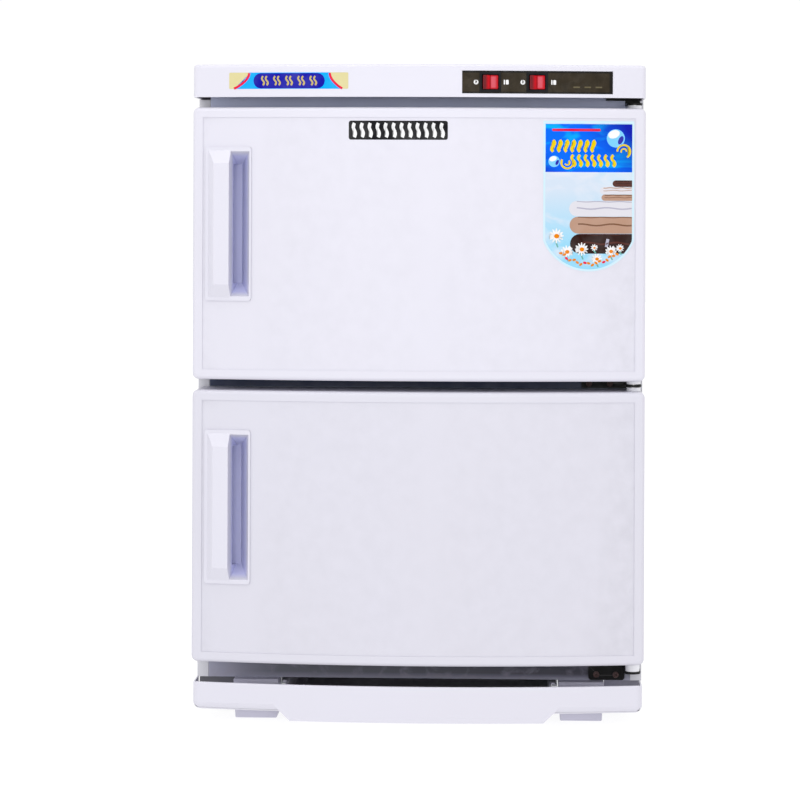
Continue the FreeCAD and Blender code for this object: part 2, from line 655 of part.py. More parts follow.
def electrics():
    """What stands on the top panel under the cover."""
    z = "case_top"
    ballast = box("BallastCore", ("30", "112"), ("20", "58"), (z, f"{z} + 22"))
    feet = box("BallastFeet", ("20", "122"), ("28", "50"), (z, f"{z} + 1.5"))
    node("uv_ballast", fuse("Ballast", [ballast, feet]))
    can = rod("StarterCan", "9", ("140", "40", f"{z} + 9.5"), "30", X_AXIS)
    socket = box("StarterSocket", ("168", "182"), ("29", "51"), (z, f"{z} + 20"))
    node("uv_starter", fuse("Starter", [can, socket]))
    block = box("BlockBody", ("-150", "-90"), ("120", "142"), (z, f"{z} + 17"))
    wells = [rod("BlockWell", "2.5", (f"-144.5 + {index} * 9.8", y, f"{z} + 8"), "12")
             for index in range(6) for y in ("126", "136")]
    node("terminal_block", cut("TerminalBlock", block, wells))


def wiring_harness():
    """Looms between the gland, terminal block, switches, ballast and the back of the chambers."""
    top = number("case_top")
    low = top + 5
    heat = switch_frames()["heat"]
    heat_back = heat.multVec(Vector(0, 26, 0))
    uv_back = switch_frames()["uv"].multVec(Vector(0, 26, 0))
    looms = [
        routed("SupplyLoom", [(-120, 171, 641), (-120, 158, 641), (-120, 150, low + 4),
                              (-120, 143, low + 4)], 3, 4),
        routed("SwitchLoom", [(-135, 119, low), (-135, -60, low), (heat_back.x, -95, low),
                              (heat_back.x, -135, 640), (heat_back.x, heat_back.y, 640)], 3, 10),
        routed("UvLoom", [(-105, 119, low), (-105, 80, low), (15, 39, low), (29, 39, low)], 2, 8),
        routed("BallastLoom", [(uv_back.x, uv_back.y, 640), (uv_back.x, -120, 640), (uv_back.x, -90, low + 7),
                               (90, -10, low + 7), (90, 19, low + 7)], 2, 10),
        routed("ChamberLoom", [(-110, 119, low + 7), (-110, 100, low + 7), (60, 100, low + 7),
                               (60, 166, low + 7), (60, 166, 205)], 3, 5),
    ]
    node("wiring_harness", group("WiringHarness", looms))


# ---------------------------------------------------------------- hinges

def middle_hinge_screws():
    z = "(lower_door_z + door_height + upper_door_z) / 2"
    return [(x, "case_front - leaf_thick", z) for x in ("171", "192")]


def bottom_hinge_screws():
    return [(x, "case_front - leaf_thick", "45.5") for x in ("179.5", "199")]


def top_hinge_screws():
    return [(x, y, "case_top + leaf_thick") for x, y in (("210", "-101"), ("196", "-101"))]


def leaf(name, z):
    """Flat leaf with a round end at the pin."""
    tongue = box(name + "Tongue", ("pin_x - 8", "pin_x + 8"), ("pin_y", "case_front"),
                 (z, f"{z} + leaf_thick"))
    tip = rod(name + "Tip", "8", ("pin_x", "pin_y", z), "leaf_thick")
    return [tongue, tip]


def pin_hole(name, z):
    return rod(name, "pin_radius", ("pin_x", "pin_y", f"{z} - {PAST}"), f"{2 * PAST} + leaf_thick")


def hinges():
    """Three brackets that hold the pins, which are fixed in the leaves."""
    plate_y = ("case_front - leaf_thick", "case_front")
    middle_z = "(lower_door_z + door_height + upper_door_z) / 2 - leaf_thick / 2"
    plate = box("MiddlePlate", ("163.6", "211.5"), plate_y,
                ("lower_door_z + door_height + 0.5", "upper_door_z - 0.5"))
    pieces = fuse("MiddleHinge", [plate] + leaf("MiddleLeaf", middle_z))
    holes = [pin_hole("MiddlePinHole", middle_z)]
    holes += screw_holes("MiddleHole", middle_hinge_screws(), Y_AXIS * -1)
    node("middle_hinge_bracket", cut("MiddleBracket", pieces, holes))

    bottom_z = "lower_door_z - low_boss_high - leaf_gap - leaf_thick"
    body = new_body("BottomPlateBody")
    outline = rectangle(body, "BottomPlate", "XZ_Plane", "-case_front", ("171.6", "208"),
                        ("case_bottom + 0.5", f"{bottom_z} + leaf_thick"))
    pad(body, outline, "leaf_thick")
    round_edges(body, "3", lambda edge: runs_along(edge, Y_AXIS)
                and near(edge.BoundBox.ZMin, "case_bottom + 0.5"))
    pieces = fuse("BottomHinge", [body] + leaf("BottomLeaf", bottom_z))
    holes = [pin_hole("BottomPinHole", bottom_z)]
    holes += screw_holes("BottomHole", bottom_hinge_screws(), Y_AXIS * -1)
    node("bottom_hinge_bracket", cut("BottomBracket", pieces, holes))

    top_z = "upper_door_z + door_height + boss_high + leaf_gap"
    riser = box("TopRiser", ("pin_x - 8", "pin_x + 7"), plate_y, (top_z, "case_top + leaf_thick"))
    saddle = box("TopSaddle", ("188", "pin_x + 7"), ("case_front - leaf_thick", "-88"),
                 ("case_top", "case_top + leaf_thick"))
    pieces = fuse("TopHinge", [riser, saddle] + leaf("TopLeaf", top_z))
    holes = [pin_hole("TopPinHole", top_z)] + screw_holes("TopHole", top_hinge_screws(), Z_AXIS)
    node("top_hinge_bracket", cut("TopBracket", pieces, holes))

    reach = "9"
    pins = [
        rod("BottomPin", "pin_radius", ("pin_x", "pin_y", bottom_z), f"leaf_thick + leaf_gap + {reach}"),
        rod("MiddlePin", "pin_radius", ("pin_x", "pin_y", f"{middle_z} - leaf_gap - {reach}"),
            f"2 * {reach} + 2 * leaf_gap + leaf_thick"),
        rod("TopPin", "pin_radius", ("pin_x", "pin_y", f"{top_z} - leaf_gap - {reach}"),
            f"leaf_thick + leaf_gap + {reach}"),
    ]
    node("hinge_pins", group("HingePins", pins))
    screws = []
    for index, at in enumerate(middle_hinge_screws() + bottom_hinge_screws()):
        screws.append(screw(f"HingeScrew{index}", at, Y_AXIS * -1))
    for index, at in enumerate(top_hinge_screws()):
        screws.append(screw(f"TopHingeScrew{index}", at, Z_AXIS))
    node("hinge_screws", group("HingeScrews", screws))


# ---------------------------------------------------------------- doors

def handle_frame(door):
    return surface_frame("handle_x", "field_sink", f"{door}_door_z + handle_lift")


def boss_heights(door):
    """Height of the bush flange under and on top of a door."""
    return ("low_boss_high" if door == "lower" else "boss_high", "boss_high")


def door_shell(door):
    """Moulded outer shell with a raised border, seats for the hinge bushes and an opening for the handle."""
    base = f"{door}_door_z"
    top = f"{base} + door_height"
    body = new_body(f"Shell_{door}")
    outline = bowed(body, f"ShellOutline_{door}", base, ("-width / 2", "width / 2"), "door_back", "0")
    pad(body, outline, "door_height")
    round_edges(body, "door_corner", lambda edge: runs_along(edge, Y_AXIS))
    round_edges(body, "door_round", lambda edge: edge.BoundBox.YMax < number("door_back") - 40)
    field = bowed(body, f"Field_{door}", f"{base} + field_inset",
                  ("-width / 2 + field_inset", "width / 2 - field_inset"), "-depth / 2 - 20", "field_sink")
    pocket(body, field, "door_height - 2 * field_inset", True)
    cavity = bowed(body, f"Cavity_{door}", f"{base} + door_wall",
                   ("-width / 2 + door_wall", "width / 2 - hinge_stile"), "door_back + 10",
                   "field_sink + door_wall")
    pocket(body, cavity, "door_height - 2 * door_wall", True)
    tools = [
        rod("LowBushHole", "bush_radius", ("pin_x", "pin_y", f"{base} - {PAST}"),
            f"bush_stem + 0.5 + {PAST}"),
        rod("HighBushHole", "bush_radius", ("pin_x", "pin_y", f"{top} - bush_stem - 0.5"),
            f"bush_stem + 0.5 + {PAST}"),
        framed_box("HandleHole", handle_frame(door), ("cup_left - 0.3", "cup_right + 0.3"),
                   (f"-{PAST}", "20"), ("-cup_half_w - 0.3", "cup_half_w + 0.3")),
    ]
    node(f"{door}_door_shell", cut("DoorShell", body, tools))


def door_bushes(door):
    """Flanged bearing bushes pressed into the door's ends; the hinge pins turn in them."""
    base = f"{door}_door_z"
    top = f"{base} + door_height"
    low_boss, high_boss = boss_heights(door)
    bushes = []
    for name, low, high, stem in (("Low", f"{base} - {low_boss}", base, base),
                                  ("High", top, f"{top} + {high_boss}", f"{top} - bush_stem")):
        flange = rod(name + "Flange", "boss_radius", ("pin_x", "pin_y", low), f"({high}) - ({low})")
        seat = rod(name + "Stem", "bush_radius", ("pin_x", "pin_y", stem), "bush_stem")
        bore = rod(name + "Bore", "pin_radius + pin_clearance", ("pin_x", "pin_y", f"{low} - bush_stem - 1"),
                   f"({high}) - ({low}) + 2 * bush_stem + 2")
        bushes.append(cut(name + "Bush", fuse(name + "BushSolid", [flange, seat]), [bore]))
    node(f"{door}_door_bushes", group("DoorBushes", bushes))


def door_liner(door):
    """Inner panel of the door with a shallow dished middle."""
    base = f"{door}_door_z"
    body = new_body(f"DoorLiner_{door}")
    back = "door_back - 0.5"
    across = ("-width / 2 + door_wall + 0.3", "width / 2 - hinge_stile - 0.3")
    plate = rectangle(body, f"DoorLinerPlate_{door}", "XZ_Plane", f"-({back} - liner_thick)", across,
                      (f"{base} + door_wall + 0.3", f"{base} + door_height - door_wall - 0.3"))
    pad(body, plate, "liner_thick", True)
    inset = "gasket_inset + gasket_width + 2"
    dish = rectangle(body, f"DoorLinerDish_{door}", "XZ_Plane", f"-({back})",
                     ("-chamber_half_x + 2", "chamber_half_x - 2"),
                     (f"{base} + {inset}", f"{base} + door_height - ({inset})"))
    pocket(body, dish, "liner_sink", True)
    round_edges(body, "5", lambda edge: runs_along(edge, Y_AXIS)
                and abs(edge.CenterOfMass.x) < number("chamber_half_x"))
    node(f"{door}_door_liner", body)


def door_insulation(door):
    """Foam core that leaves room for the handle cup."""
    base = f"{door}_door_z"
    body = new_body(f"Foam_{door}")
    plan = bowed(body, f"FoamPlan_{door}", f"{base} + door_wall + 0.5",
                 ("-width / 2 + door_wall + 0.5", "width / 2 - hinge_stile - 0.5"),
                 "door_back - 0.5 - liner_thick - 0.3", "field_sink + door_wall + 0.5")
    pad(body, plan, "door_height - 2 * door_wall - 1")
    room = framed_box("HandleRoom", handle_frame(door), ("cup_left - 0.6", "cup_right + 0.6"),
                      (f"-{PAST}", "cup_depth + 0.5"), ("-cup_half_w - 0.6", "cup_half_w + 0.6"))
    node(f"{door}_door_insulation", cut("DoorFoam", body, [room]))


def door_gasket(door):
    """Magnetic seal round the back of the door, just off the case when closed."""
    base = f"{door}_door_z"
    body = new_body(f"Gasket_{door}")
    outer_x = "chamber_half_x + gasket_width + 3"
    low = f"{base} + gasket_inset"
    high = f"{base} + door_height - gasket_inset"
    depth = "case_front - gasket_gap - (door_back - 0.5)"
    ring = rectangle(body, f"GasketRing_{door}", "XZ_Plane", "-(door_back - 0.5)",
                     (f"-({outer_x})", outer_x), (low, high))
    pad(body, ring, depth, True)
    hole = rectangle(body, f"GasketHole_{door}", "XZ_Plane", "-(door_back - 0.5)",
                     (f"-({outer_x} - gasket_width)", f"{outer_x} - gasket_width"),
                     (f"{low} + gasket_width", f"{high} - gasket_width"))
    pocket(body, hole, depth)
    round_edges(body, "3", lambda edge: runs_along(edge, Y_AXIS))
    node(f"{door}_door_gasket", body)


def door_handle(door):
    """Moulded insert: a flange, a raised bevelled grip, and a finger cup that goes under the grip."""
    body = new_body(f"Handle_{door}")
    flange = rectangle(body, f"Flange_{door}", "XZ_Plane", "0", ("-flange_half_u", "flange_half_u"),
                       ("-flange_half_w", "flange_half_w"))
    pad(body, flange, "flange_thick")
    round_edges(body, "3", lambda edge: runs_along(edge, Y_AXIS))
    block = rectangle(body, f"Cup_{door}", "XZ_Plane", "0", ("cup_left", "cup_right"),
                      ("-cup_half_w", "cup_half_w"))
    pad(body, block, "cup_depth", True)
    grip_base = rectangle(body, f"GripBase_{door}", "XZ_Plane", "flange_thick - 0.4",
                          ("grip_foot", "grip_edge"), ("-grip_foot_half_w", "grip_foot_half_w"))
    grip_crest = rectangle(body, f"GripCrest_{door}", "XZ_Plane", "grip_proud",
                           ("crest_left", "grip_edge"), ("-crest_half_w", "crest_half_w"))
    grip = body.newObject("PartDesign::AdditiveLoft", f"Grip_{door}")
    grip.Profile = grip_base
    grip.Sections = [grip_crest]
    grip.Ruled = True
    DOC.recompute()
    before = body.Shape.Volume
    mouth = rectangle(body, f"Mouth_{door}", "XZ_Plane", "flange_thick", ("grip_edge", "mouth_right"),
                      ("-mouth_half_w", "mouth_half_w"))
    floor = rectangle(body, f"Floor_{door}", "XZ_Plane", "-cup_floor", ("grip_edge", "floor_right"),
                      ("-floor_half_w", "floor_half_w"))
    cup = body.newObject("PartDesign::SubtractiveLoft", f"CupHollow_{door}")
    cup.Profile = mouth
    cup.Sections = [floor]
    cup.Ruled = True
    DOC.recompute()
    if body.Shape.Volume > before - 1:
        raise RuntimeError("the finger cup cuts nothing")
    under = rectangle(body, f"Undercut_{door}", "XZ_Plane", "-undercut_start",
                      ("undercut_left", "grip_edge + 1"), ("-floor_half_w", "floor_half_w"))
    pocket(body, under, "cup_floor - undercut_start")
    body.Placement = handle_frame(door)
    node(f"{door}_door_handle", body)


# ---------------------------------------------------------------- drip tray and feet

def drip_tray():
    """Full-width trough under the doors with a deeper middle that goes back between the feet."""
    body = new_body("DripTrayBody")
    outline = bowed(body, "TrayOutline", "tray_deep_bottom", ("-tray_half_x", "tray_half_x"), "trough_back",
                    "0")
    pad(body, outline, "tray_top - tray_deep_bottom")
    round_edges(body, "8", lambda edge: runs_along(edge, Z_AXIS)
                and edge.CenterOfMass.y < number("trough_back") - 10)
    round_edges(body, "tray_lip_round", lambda edge: near(edge.BoundBox.ZMin, "tray_top")
                and edge.BoundBox.YMin < number("trough_back") - 1)
    middle = rectangle(body, "TrayMiddle", "XY_Plane", "tray_deep_bottom", ("-tray_body_x", "tray_body_x"),
                       ("trough_back - 5", "tray_end"))
    pad(body, middle, "tray_rim_top - tray_deep_bottom")
    rim = rectangle(body, "TrayRim", "XY_Plane", "tray_rim_top - 1.6",
                    ("-tray_body_x - 4", "tray_body_x + 4"), ("trough_back + 20", "tray_end"))
    pad(body, rim, "1.6")
    for side in (-1, 1):
        outside = f"{side} * (tray_half_x + 10)"
        inside = f"{side} * (tray_deep_x - 5)"
        name = f"TrayStep_{'left' if side < 0 else 'right'}"
        step = [(outside, "tray_deep_bottom - 5"), (inside, "tray_deep_bottom - 5"),
                (inside, "tray_deep_bottom"), (f"{side} * tray_deep_x", "tray_deep_bottom"),
                (f"{side} * tray_body_x", "tray_side_bottom"), (outside, "tray_side_bottom")]
        corner = polygon(body, name, "XZ_Plane", "-tray_end - 20", step)
        pocket(body, corner, "depth + 60", True)
    round_edges(body, "tray_corner", lambda edge: runs_along(edge, Y_AXIS)
                and near(edge.BoundBox.ZMin, "tray_side_bottom")
                and abs(edge.CenterOfMass.x) > number("tray_half_x - 1"))
    trough = bowed(body, "Trough", "tray_side_bottom + tray_wall",
                   ("-tray_half_x + tray_wall", "tray_half_x - tray_wall"), "trough_back - tray_wall",
                   "tray_wall")
    pocket(body, trough, "40", True)
    well = rectangle(body, "TrayWell", "XY_Plane", "tray_side_bottom + tray_wall",
                     ("-tray_body_x + tray_wall", "tray_body_x - tray_wall"),
                     ("trough_back - 10", "tray_end - tray_wall"))
    pocket(body, well, "40", True)
    low_back = rectangle(body, "TroughLowBack", "XY_Plane", "tray_rim_top",
                         ("-tray_half_x + tray_wall", "tray_half_x - tray_wall"),
                         ("trough_back - tray_wall - 1", "trough_back + 5"))
    pocket(body, low_back, "tray_top - tray_rim_top + 1", True)
    deep = bowed(body, "TrayDeep", "tray_deep_bottom + tray_wall",
                 ("-tray_deep_x + tray_wall", "tray_deep_x - tray_wall"), "tray_end - tray_wall", "tray_wall")
    pocket(body, deep, "40", True)
    node("drip_tray", body)


def tray_rails():
    """Angle rails under the base pan; the rim of the tray slides on their ledges."""
    rails = []
    for side in (-1, 1):
        web = sorted((f"{side} * (tray_body_x + 5)", f"{side} * (tray_body_x + 6.4)"), key=number)
        ledge = sorted((f"{side} * (tray_body_x + 0.6)", f"{side} * (tray_body_x + 6.4)"), key=number)
        upright = box("RailWeb", web, ("trough_back + 24", "tray_end"), ("tray_rim_top - 4", "case_bottom"))
        foot = box("RailLedge", ledge, ("trough_back + 24", "tray_end"),
                   ("tray_rim_top - 4", "tray_rim_top - 2"))
        rails.append(fuse("TrayRail", [upright, foot]))
    node("drip_tray_rails", group("TrayRails", rails))


def foot_places():
    """Centre of each foot in plan."""
    centre = "foot_inner + foot_width / 2"
    front = "foot_front + foot_depth / 2"
    rear = "foot_rear + foot_depth / 2"
    return {
        "front_left": (f"-({centre})", front), "front_right": (centre, front),
        "rear_left": (f"-({centre})", rear), "rear_right": (centre, rear),
    }


def foot_screw_places():
    """Screw seats inside the feet."""
    return [(x, y, "case_bottom - 5") for x, y in foot_places().values()]


def feet():
    """Tapered feet, each screwed up into the base pan from a well in its underside."""
    for name, (x, y) in foot_places().items():
        block = DOC.addObject("Part::Wedge", "FootBlock")
        half_x, half_y = "foot_width / 2", "foot_depth / 2"
        put(block, "Xmin", f"-({half_x})")
        put(block, "Xmax", half_x)
        put(block, "Zmin", f"-({half_y})")
        put(block, "Zmax", half_y)
        put(block, "Ymin", "0")
        put(block, "Ymax", "case_bottom")
        put(block, "X2min", f"-({half_x}) + foot_taper")
        put(block, "X2max", f"{half_x} - foot_taper")
        put(block, "Z2min", f"-({half_y}) + foot_taper")
        put(block, "Z2max", f"{half_y} - foot_taper")
        block.Placement = Placement(Vector(), Rotation(X_AXIS, -90))
        put(block, "Placement.Base.x", x)
        put(block, "Placement.Base.y", y)
        put(block, "Placement.Base.z", "case_bottom")
        well = rod("FootWell", "5", (x, y, f"-{PAST}"), f"case_bottom - 5 + {PAST}")
        hole = rod("FootHole", "screw_radius + 0.1", (x, y, "0"), "case_bottom + 1")
        node(f"foot_{name}", cut("Foot", block, [well, hole]))
    screws = []
    for x, y, z in foot_screw_places():
        head = rod("FootScrewHead", "screw_head", (x, y, f"{z} - screw_head_high"), "screw_head_high")
        shank = rod("FootScrewShank", "screw_radius", (x, y, z), "screw_length")
        screws.append(fuse("FootScrew", [head, shank]))
    node("foot_screws", group("FootScrews", screws))


# ---------------------------------------------------------------- build and export

side_panel("left_side_panel", -1)
side_panel("right_side_panel", 1)
rear_panel()
base_pan()
top_panel()
front_frame()
centre_rail_trim()
insulation()
thermal_fuses()
rack_rails()
uv_lamp()
top_cover()
control_panel()
cable_gland()
electrics()
wiring_harness()
hinges()
drip_tray()
tray_rails()
feet()
for switch_name in ("heat", "uv"):
    switch(switch_name)
for door_name in ("lower", "upper"):
    chamber_liner(door_name)
    heating_pad(door_name)
    thermostat(door_name)
    wire_rack(door_name)
    door_shell(door_name)
    door_bushes(door_name)
    door_liner(door_name)
    door_insulation(door_name)
    door_gasket(door_name)
    door_handle(door_name)
DOC.recompute()

for item in DOC.Objects:
    if "Invalid" in item.State or "Error" in item.State:
        raise RuntimeError(f"{item.Name} is in state {item.State}")
for part in NODES:
    if part.Shape.isNull() or not part.Shape.isValid():
        raise RuntimeError(f"{part.Label} has no valid shape")

os.makedirs("parts", exist_ok=True)
for part in NODES:
    part.Shape.exportStep(f"parts/{part.Label}.step")
    print(f"{part.Label}: {len(part.Shape.Solids)} solid(s), {part.Shape.Volume / 1000:.1f} cm3")
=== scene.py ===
import json
import math
import random

import bmesh
import bpy
from mathutils import Matrix, Vector


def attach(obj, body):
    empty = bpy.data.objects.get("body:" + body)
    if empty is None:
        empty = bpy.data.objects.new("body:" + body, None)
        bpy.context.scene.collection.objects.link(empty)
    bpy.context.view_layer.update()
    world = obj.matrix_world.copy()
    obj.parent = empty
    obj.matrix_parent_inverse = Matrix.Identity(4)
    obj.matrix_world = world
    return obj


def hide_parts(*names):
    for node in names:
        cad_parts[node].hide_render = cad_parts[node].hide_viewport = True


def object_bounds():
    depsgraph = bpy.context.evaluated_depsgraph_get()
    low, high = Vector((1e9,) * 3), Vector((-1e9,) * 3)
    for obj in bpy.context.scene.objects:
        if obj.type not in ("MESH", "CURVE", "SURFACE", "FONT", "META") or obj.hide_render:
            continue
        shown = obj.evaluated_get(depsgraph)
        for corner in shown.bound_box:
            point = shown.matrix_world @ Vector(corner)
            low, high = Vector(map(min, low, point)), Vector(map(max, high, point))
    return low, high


# Hot towel cabinet: the finishes, fine pieces and artwork of its sub-parts. Metres throughout, apart from
# the artwork, whose outlines are drawn in millimetres and scaled by MM. The front faces -y and z is up.

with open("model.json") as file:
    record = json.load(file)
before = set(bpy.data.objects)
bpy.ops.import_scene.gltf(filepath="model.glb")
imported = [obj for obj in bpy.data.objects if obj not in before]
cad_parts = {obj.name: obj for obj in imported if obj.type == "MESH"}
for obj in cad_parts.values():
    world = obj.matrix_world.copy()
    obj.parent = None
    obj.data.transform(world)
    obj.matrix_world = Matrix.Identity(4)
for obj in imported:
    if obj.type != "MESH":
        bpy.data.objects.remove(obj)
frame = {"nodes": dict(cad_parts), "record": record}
CAD_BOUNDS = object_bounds()
NODES = frame["nodes"]
RECORD = frame["record"]
SLOT_OF = {part["node"]: part["material_slot"] for part in RECORD["subparts"]}
BODY_OF = {node: body for body, nodes in RECORD["behaviour"]["bodies"].items() for node in nodes}
SCENE = bpy.context.scene
MM = 0.001
random.seed(7)

# the bow that the doors, the cover and the tray share
BOW_RADIUS = 1.2756
HALF_DEPTH = CAD_BOUNDS[1].y
BOW_CENTRE_Y = BOW_RADIUS - HALF_DEPTH


def extent(points):
    """Low and high corners of the box round some points."""
    low = Vector([min(point[axis] for point in points) for axis in range(3)])
    high = Vector([max(point[axis] for point in points) for axis in range(3)])
    return low, high


# ---------------------------------------------------------------- node trees

class Finish:
    """A procedural material that is put together from a few kinds of detail."""

    def __init__(self, name, colour, rough, metallic=0.0):
        self.material = bpy.data.materials.new(name)
        self.material.use_nodes = True
        self.tree = self.material.node_tree
        self.shader = self.tree.nodes["Principled BSDF"]
        self.shader.inputs["Base Color"].default_value = (*colour, 1)
        self.shader.inputs["Roughness"].default_value = rough
        self.shader.inputs["Metallic"].default_value = metallic
        self.material.diffuse_color = (*colour, 1)
        self.coordinates = self.node("ShaderNodeTexCoord").outputs["Object"]
        self.colour = None
        self.rough = None
        self.normal = None

    def node(self, kind, **settings):
        made = self.tree.nodes.new(kind)
        for key, value in settings.items():
            setattr(made, key, value)
        return made

    def link(self, source, target):
        self.tree.links.new(source, target)

    def set(self, **values):
        for name, value in values.items():
            self.shader.inputs[name.replace("_", " ")].default_value = value
        return self

    def stretched(self, stretch):
        mapping = self.node("ShaderNodeMapping")
        mapping.inputs["Scale"].default_value = stretch
        self.link(self.coordinates, mapping.inputs["Vector"])
        return mapping.outputs["Vector"]

    def noise(self, per_metre, detail=4.0, stretch=None, rough=0.5, warp=0.0):
        texture = self.node("ShaderNodeTexNoise")
        texture.inputs["Scale"].default_value = per_metre
        texture.inputs["Detail"].default_value = detail
        texture.inputs["Roughness"].default_value = rough
        texture.inputs["Distortion"].default_value = warp
        self.link(self.stretched(stretch) if stretch else self.coordinates, texture.inputs["Vector"])
        return texture.outputs["Fac"]

    def spread(self, source, low, high, to_low=0.0, to_high=1.0):
        remap = self.node("ShaderNodeMapRange", clamp=True)
        for name, value in (("From Min", low), ("From Max", high), ("To Min", to_low), ("To Max", to_high)):
            remap.inputs[name].default_value = value
        self.link(source, remap.inputs["Value"])
        return remap.outputs["Result"]

    def along(self, direction, low, high, to_low=0.0, to_high=1.0):
        """A ramp along a direction, between two distances from the origin."""
        reach = self.node("ShaderNodeVectorMath", operation="DOT_PRODUCT")
        self.link(self.coordinates, reach.inputs[0])
        reach.inputs[1].default_value = direction
        return self.spread(reach.outputs["Value"], low, high, to_low, to_high)

    def times(self, first, second):
        product = self.node("ShaderNodeMath", operation="MULTIPLY")
        self.link(first, product.inputs[0])
        if isinstance(second, float):
            product.inputs[1].default_value = second
        else:
            self.link(second, product.inputs[1])
        return product.outputs[0]

    def tint(self, mask, colour):
        """Blend the colour so far towards another one where the mask is white."""
        blend = self.node("ShaderNodeMix", data_type="RGBA")
        if self.colour is None:
            blend.inputs["A"].default_value = self.shader.inputs["Base Color"].default_value
        else:
            self.link(self.colour, blend.inputs["A"])
        blend.inputs["B"].default_value = (*colour, 1)
        self.link(mask, blend.inputs["Factor"])
        self.colour = blend.outputs["Result"]
        self.link(self.colour, self.shader.inputs["Base Color"])
        return self

    def roughen(self, mask, change):
        """Move the roughness so far by a change where the mask is white."""
        shift = self.node("ShaderNodeMath", operation="MULTIPLY_ADD", use_clamp=True)
        self.link(mask, shift.inputs[0])
        shift.inputs[1].default_value = change
        if self.rough is None:
            shift.inputs[2].default_value = self.shader.inputs["Roughness"].default_value
        else:
            self.link(self.rough, shift.inputs[2])
        self.rough = shift.outputs[0]
        self.link(self.rough, self.shader.inputs["Roughness"])
        return self

    def relief(self, height, depth, strength=1.0):
        """Bump with a real depth in metres."""
        bump = self.node("ShaderNodeBump")
        bump.inputs["Distance"].default_value = depth
        bump.inputs["Strength"].default_value = strength
        self.link(height, bump.inputs["Height"])
        if self.normal is not None:
            self.link(self.normal, bump.inputs["Normal"])
        self.normal = bump.outputs["Normal"]
        self.link(self.normal, self.shader.inputs["Normal"])
        return self

    def cells(self, per_metre):
        """Outputs of a cell texture: Distance from the cells' middles, and a Color for each cell."""
        texture = self.node("ShaderNodeTexVoronoi")
        texture.inputs["Scale"].default_value = per_metre
        self.link(self.coordinates, texture.inputs["Vector"])
        return texture.outputs

    def bands(self, direction, density):
        """Soft stripes that follow one another along an axis."""
        texture = self.node("ShaderNodeTexWave", wave_type="BANDS", bands_direction=direction)
        texture.inputs["Scale"].default_value = density
        self.link(self.coordinates, texture.inputs["Vector"])
        return texture.outputs["Fac"]

    def edges(self):
        """White on convex edges."""
        return self.spread(self.node("ShaderNodeNewGeometry").outputs["Pointiness"], 0.53, 0.6)

    def hollows(self):
        """White in concave corners."""
        return self.spread(self.node("ShaderNodeNewGeometry").outputs["Pointiness"], 0.47, 0.38)

    # kinds of detail

    def mottled(self, colour, per_metre=18, amount=0.5):
        mask = self.times(self.spread(self.noise(per_metre, 3, warp=0.4), 0.35, 0.7), amount)
        return self.tint(mask, colour)

    def smudged(self, change=0.16, per_metre=26):
        return self.roughen(self.spread(self.noise(per_metre, 5, warp=1.2), 0.42, 0.72), change)

    def scratched(self, change=0.12, depth=0.00001, stretch=(1, 1, 22), per_metre=55):
        hairs = self.spread(self.noise(per_metre, 2, stretch=stretch), 0.66, 0.7)
        self.roughen(hairs, change)
        return self.relief(hairs, -depth, 0.5)

    def grained(self, per_metre, depth, strength=0.5, detail=2):
        return self.relief(self.noise(per_metre, detail, rough=0.6), depth, strength)

    def worn(self, colour, amount=0.6):
        return self.tint(self.times(self.edges(), amount), colour)

    def grimy(self, colour, amount=0.5):
        broken = self.spread(self.noise(70, 4), 0.3, 0.7)
        return self.tint(self.times(self.times(self.hollows(), broken), amount), colour)

    def speckled(self, colour, per_metre=900, amount=0.5):
        specks = self.spread(self.cells(per_metre)["Distance"], 0.22, 0.1)
        return self.tint(self.times(specks, amount), colour)


# ---------------------------------------------------------------- finishes

WHITE = (0.618, 0.610, 0.688)
ACROSS, UP, ACROSS_AND_UP = (1, 0, 0), (0, 0, 1), (0.8, 0, 0.6)


def moulded_white(name, colour=WHITE, rough=0.4):
    """Injection-moulded plastic: faint mould texture, handling smudges and a little yellowing."""
    made = Finish(name, colour, rough).set(IOR=1.5, Coat_Weight=0.12, Coat_Roughness=0.25)
    warmer = (colour[0] * 0.99, colour[1] * 0.98, colour[2] * 0.965)
    made.mottled(warmer, 4, 0.5).smudged(0.08, 14).grained(2600, 0.00002, 0.2)
    made.scratched(0.08, 0.000006).grimy([part * 0.7 for part in colour], 0.3)
    return made.material


def handle_white():
    """Moulded insert whose finger cup goes bluer and darker with depth, as painted shade."""
    inwards, face_at = (0.14812, 0.98897, 0), -0.2013
    made = Finish("handle_plastic", WHITE, 0.34).set(IOR=1.5, Coat_Weight=0.2)
    made.mottled([part * 0.985 for part in WHITE], 9, 0.5).smudged(0.1, 40).grained(2600, 0.00002, 0.25)
    # painted shade: the finger cup is tinted blue-grey the deeper it goes
    made.tint(made.along(inwards, face_at + 0.001, face_at + 0.009), (0.57, 0.58, 0.82))
    made.grimy((0.35, 0.35, 0.42), 0.4)
    return made.material


def powder_coat(name, colour):
    """Powder coat with orange peel, and primer showing through on the edges."""
    made = Finish(name, colour, 0.42).set(IOR=1.48)
    made.mottled([part * 0.95 for part in colour], 12, 0.5).smudged(0.12)
    made.grained(620, 0.00006, 0.4, 1).grained(2400, 0.00001, 0.3)
    made.worn([part * 0.72 for part in colour], 0.35).grimy([part * 0.5 for part in colour], 0.5)
    return made.material


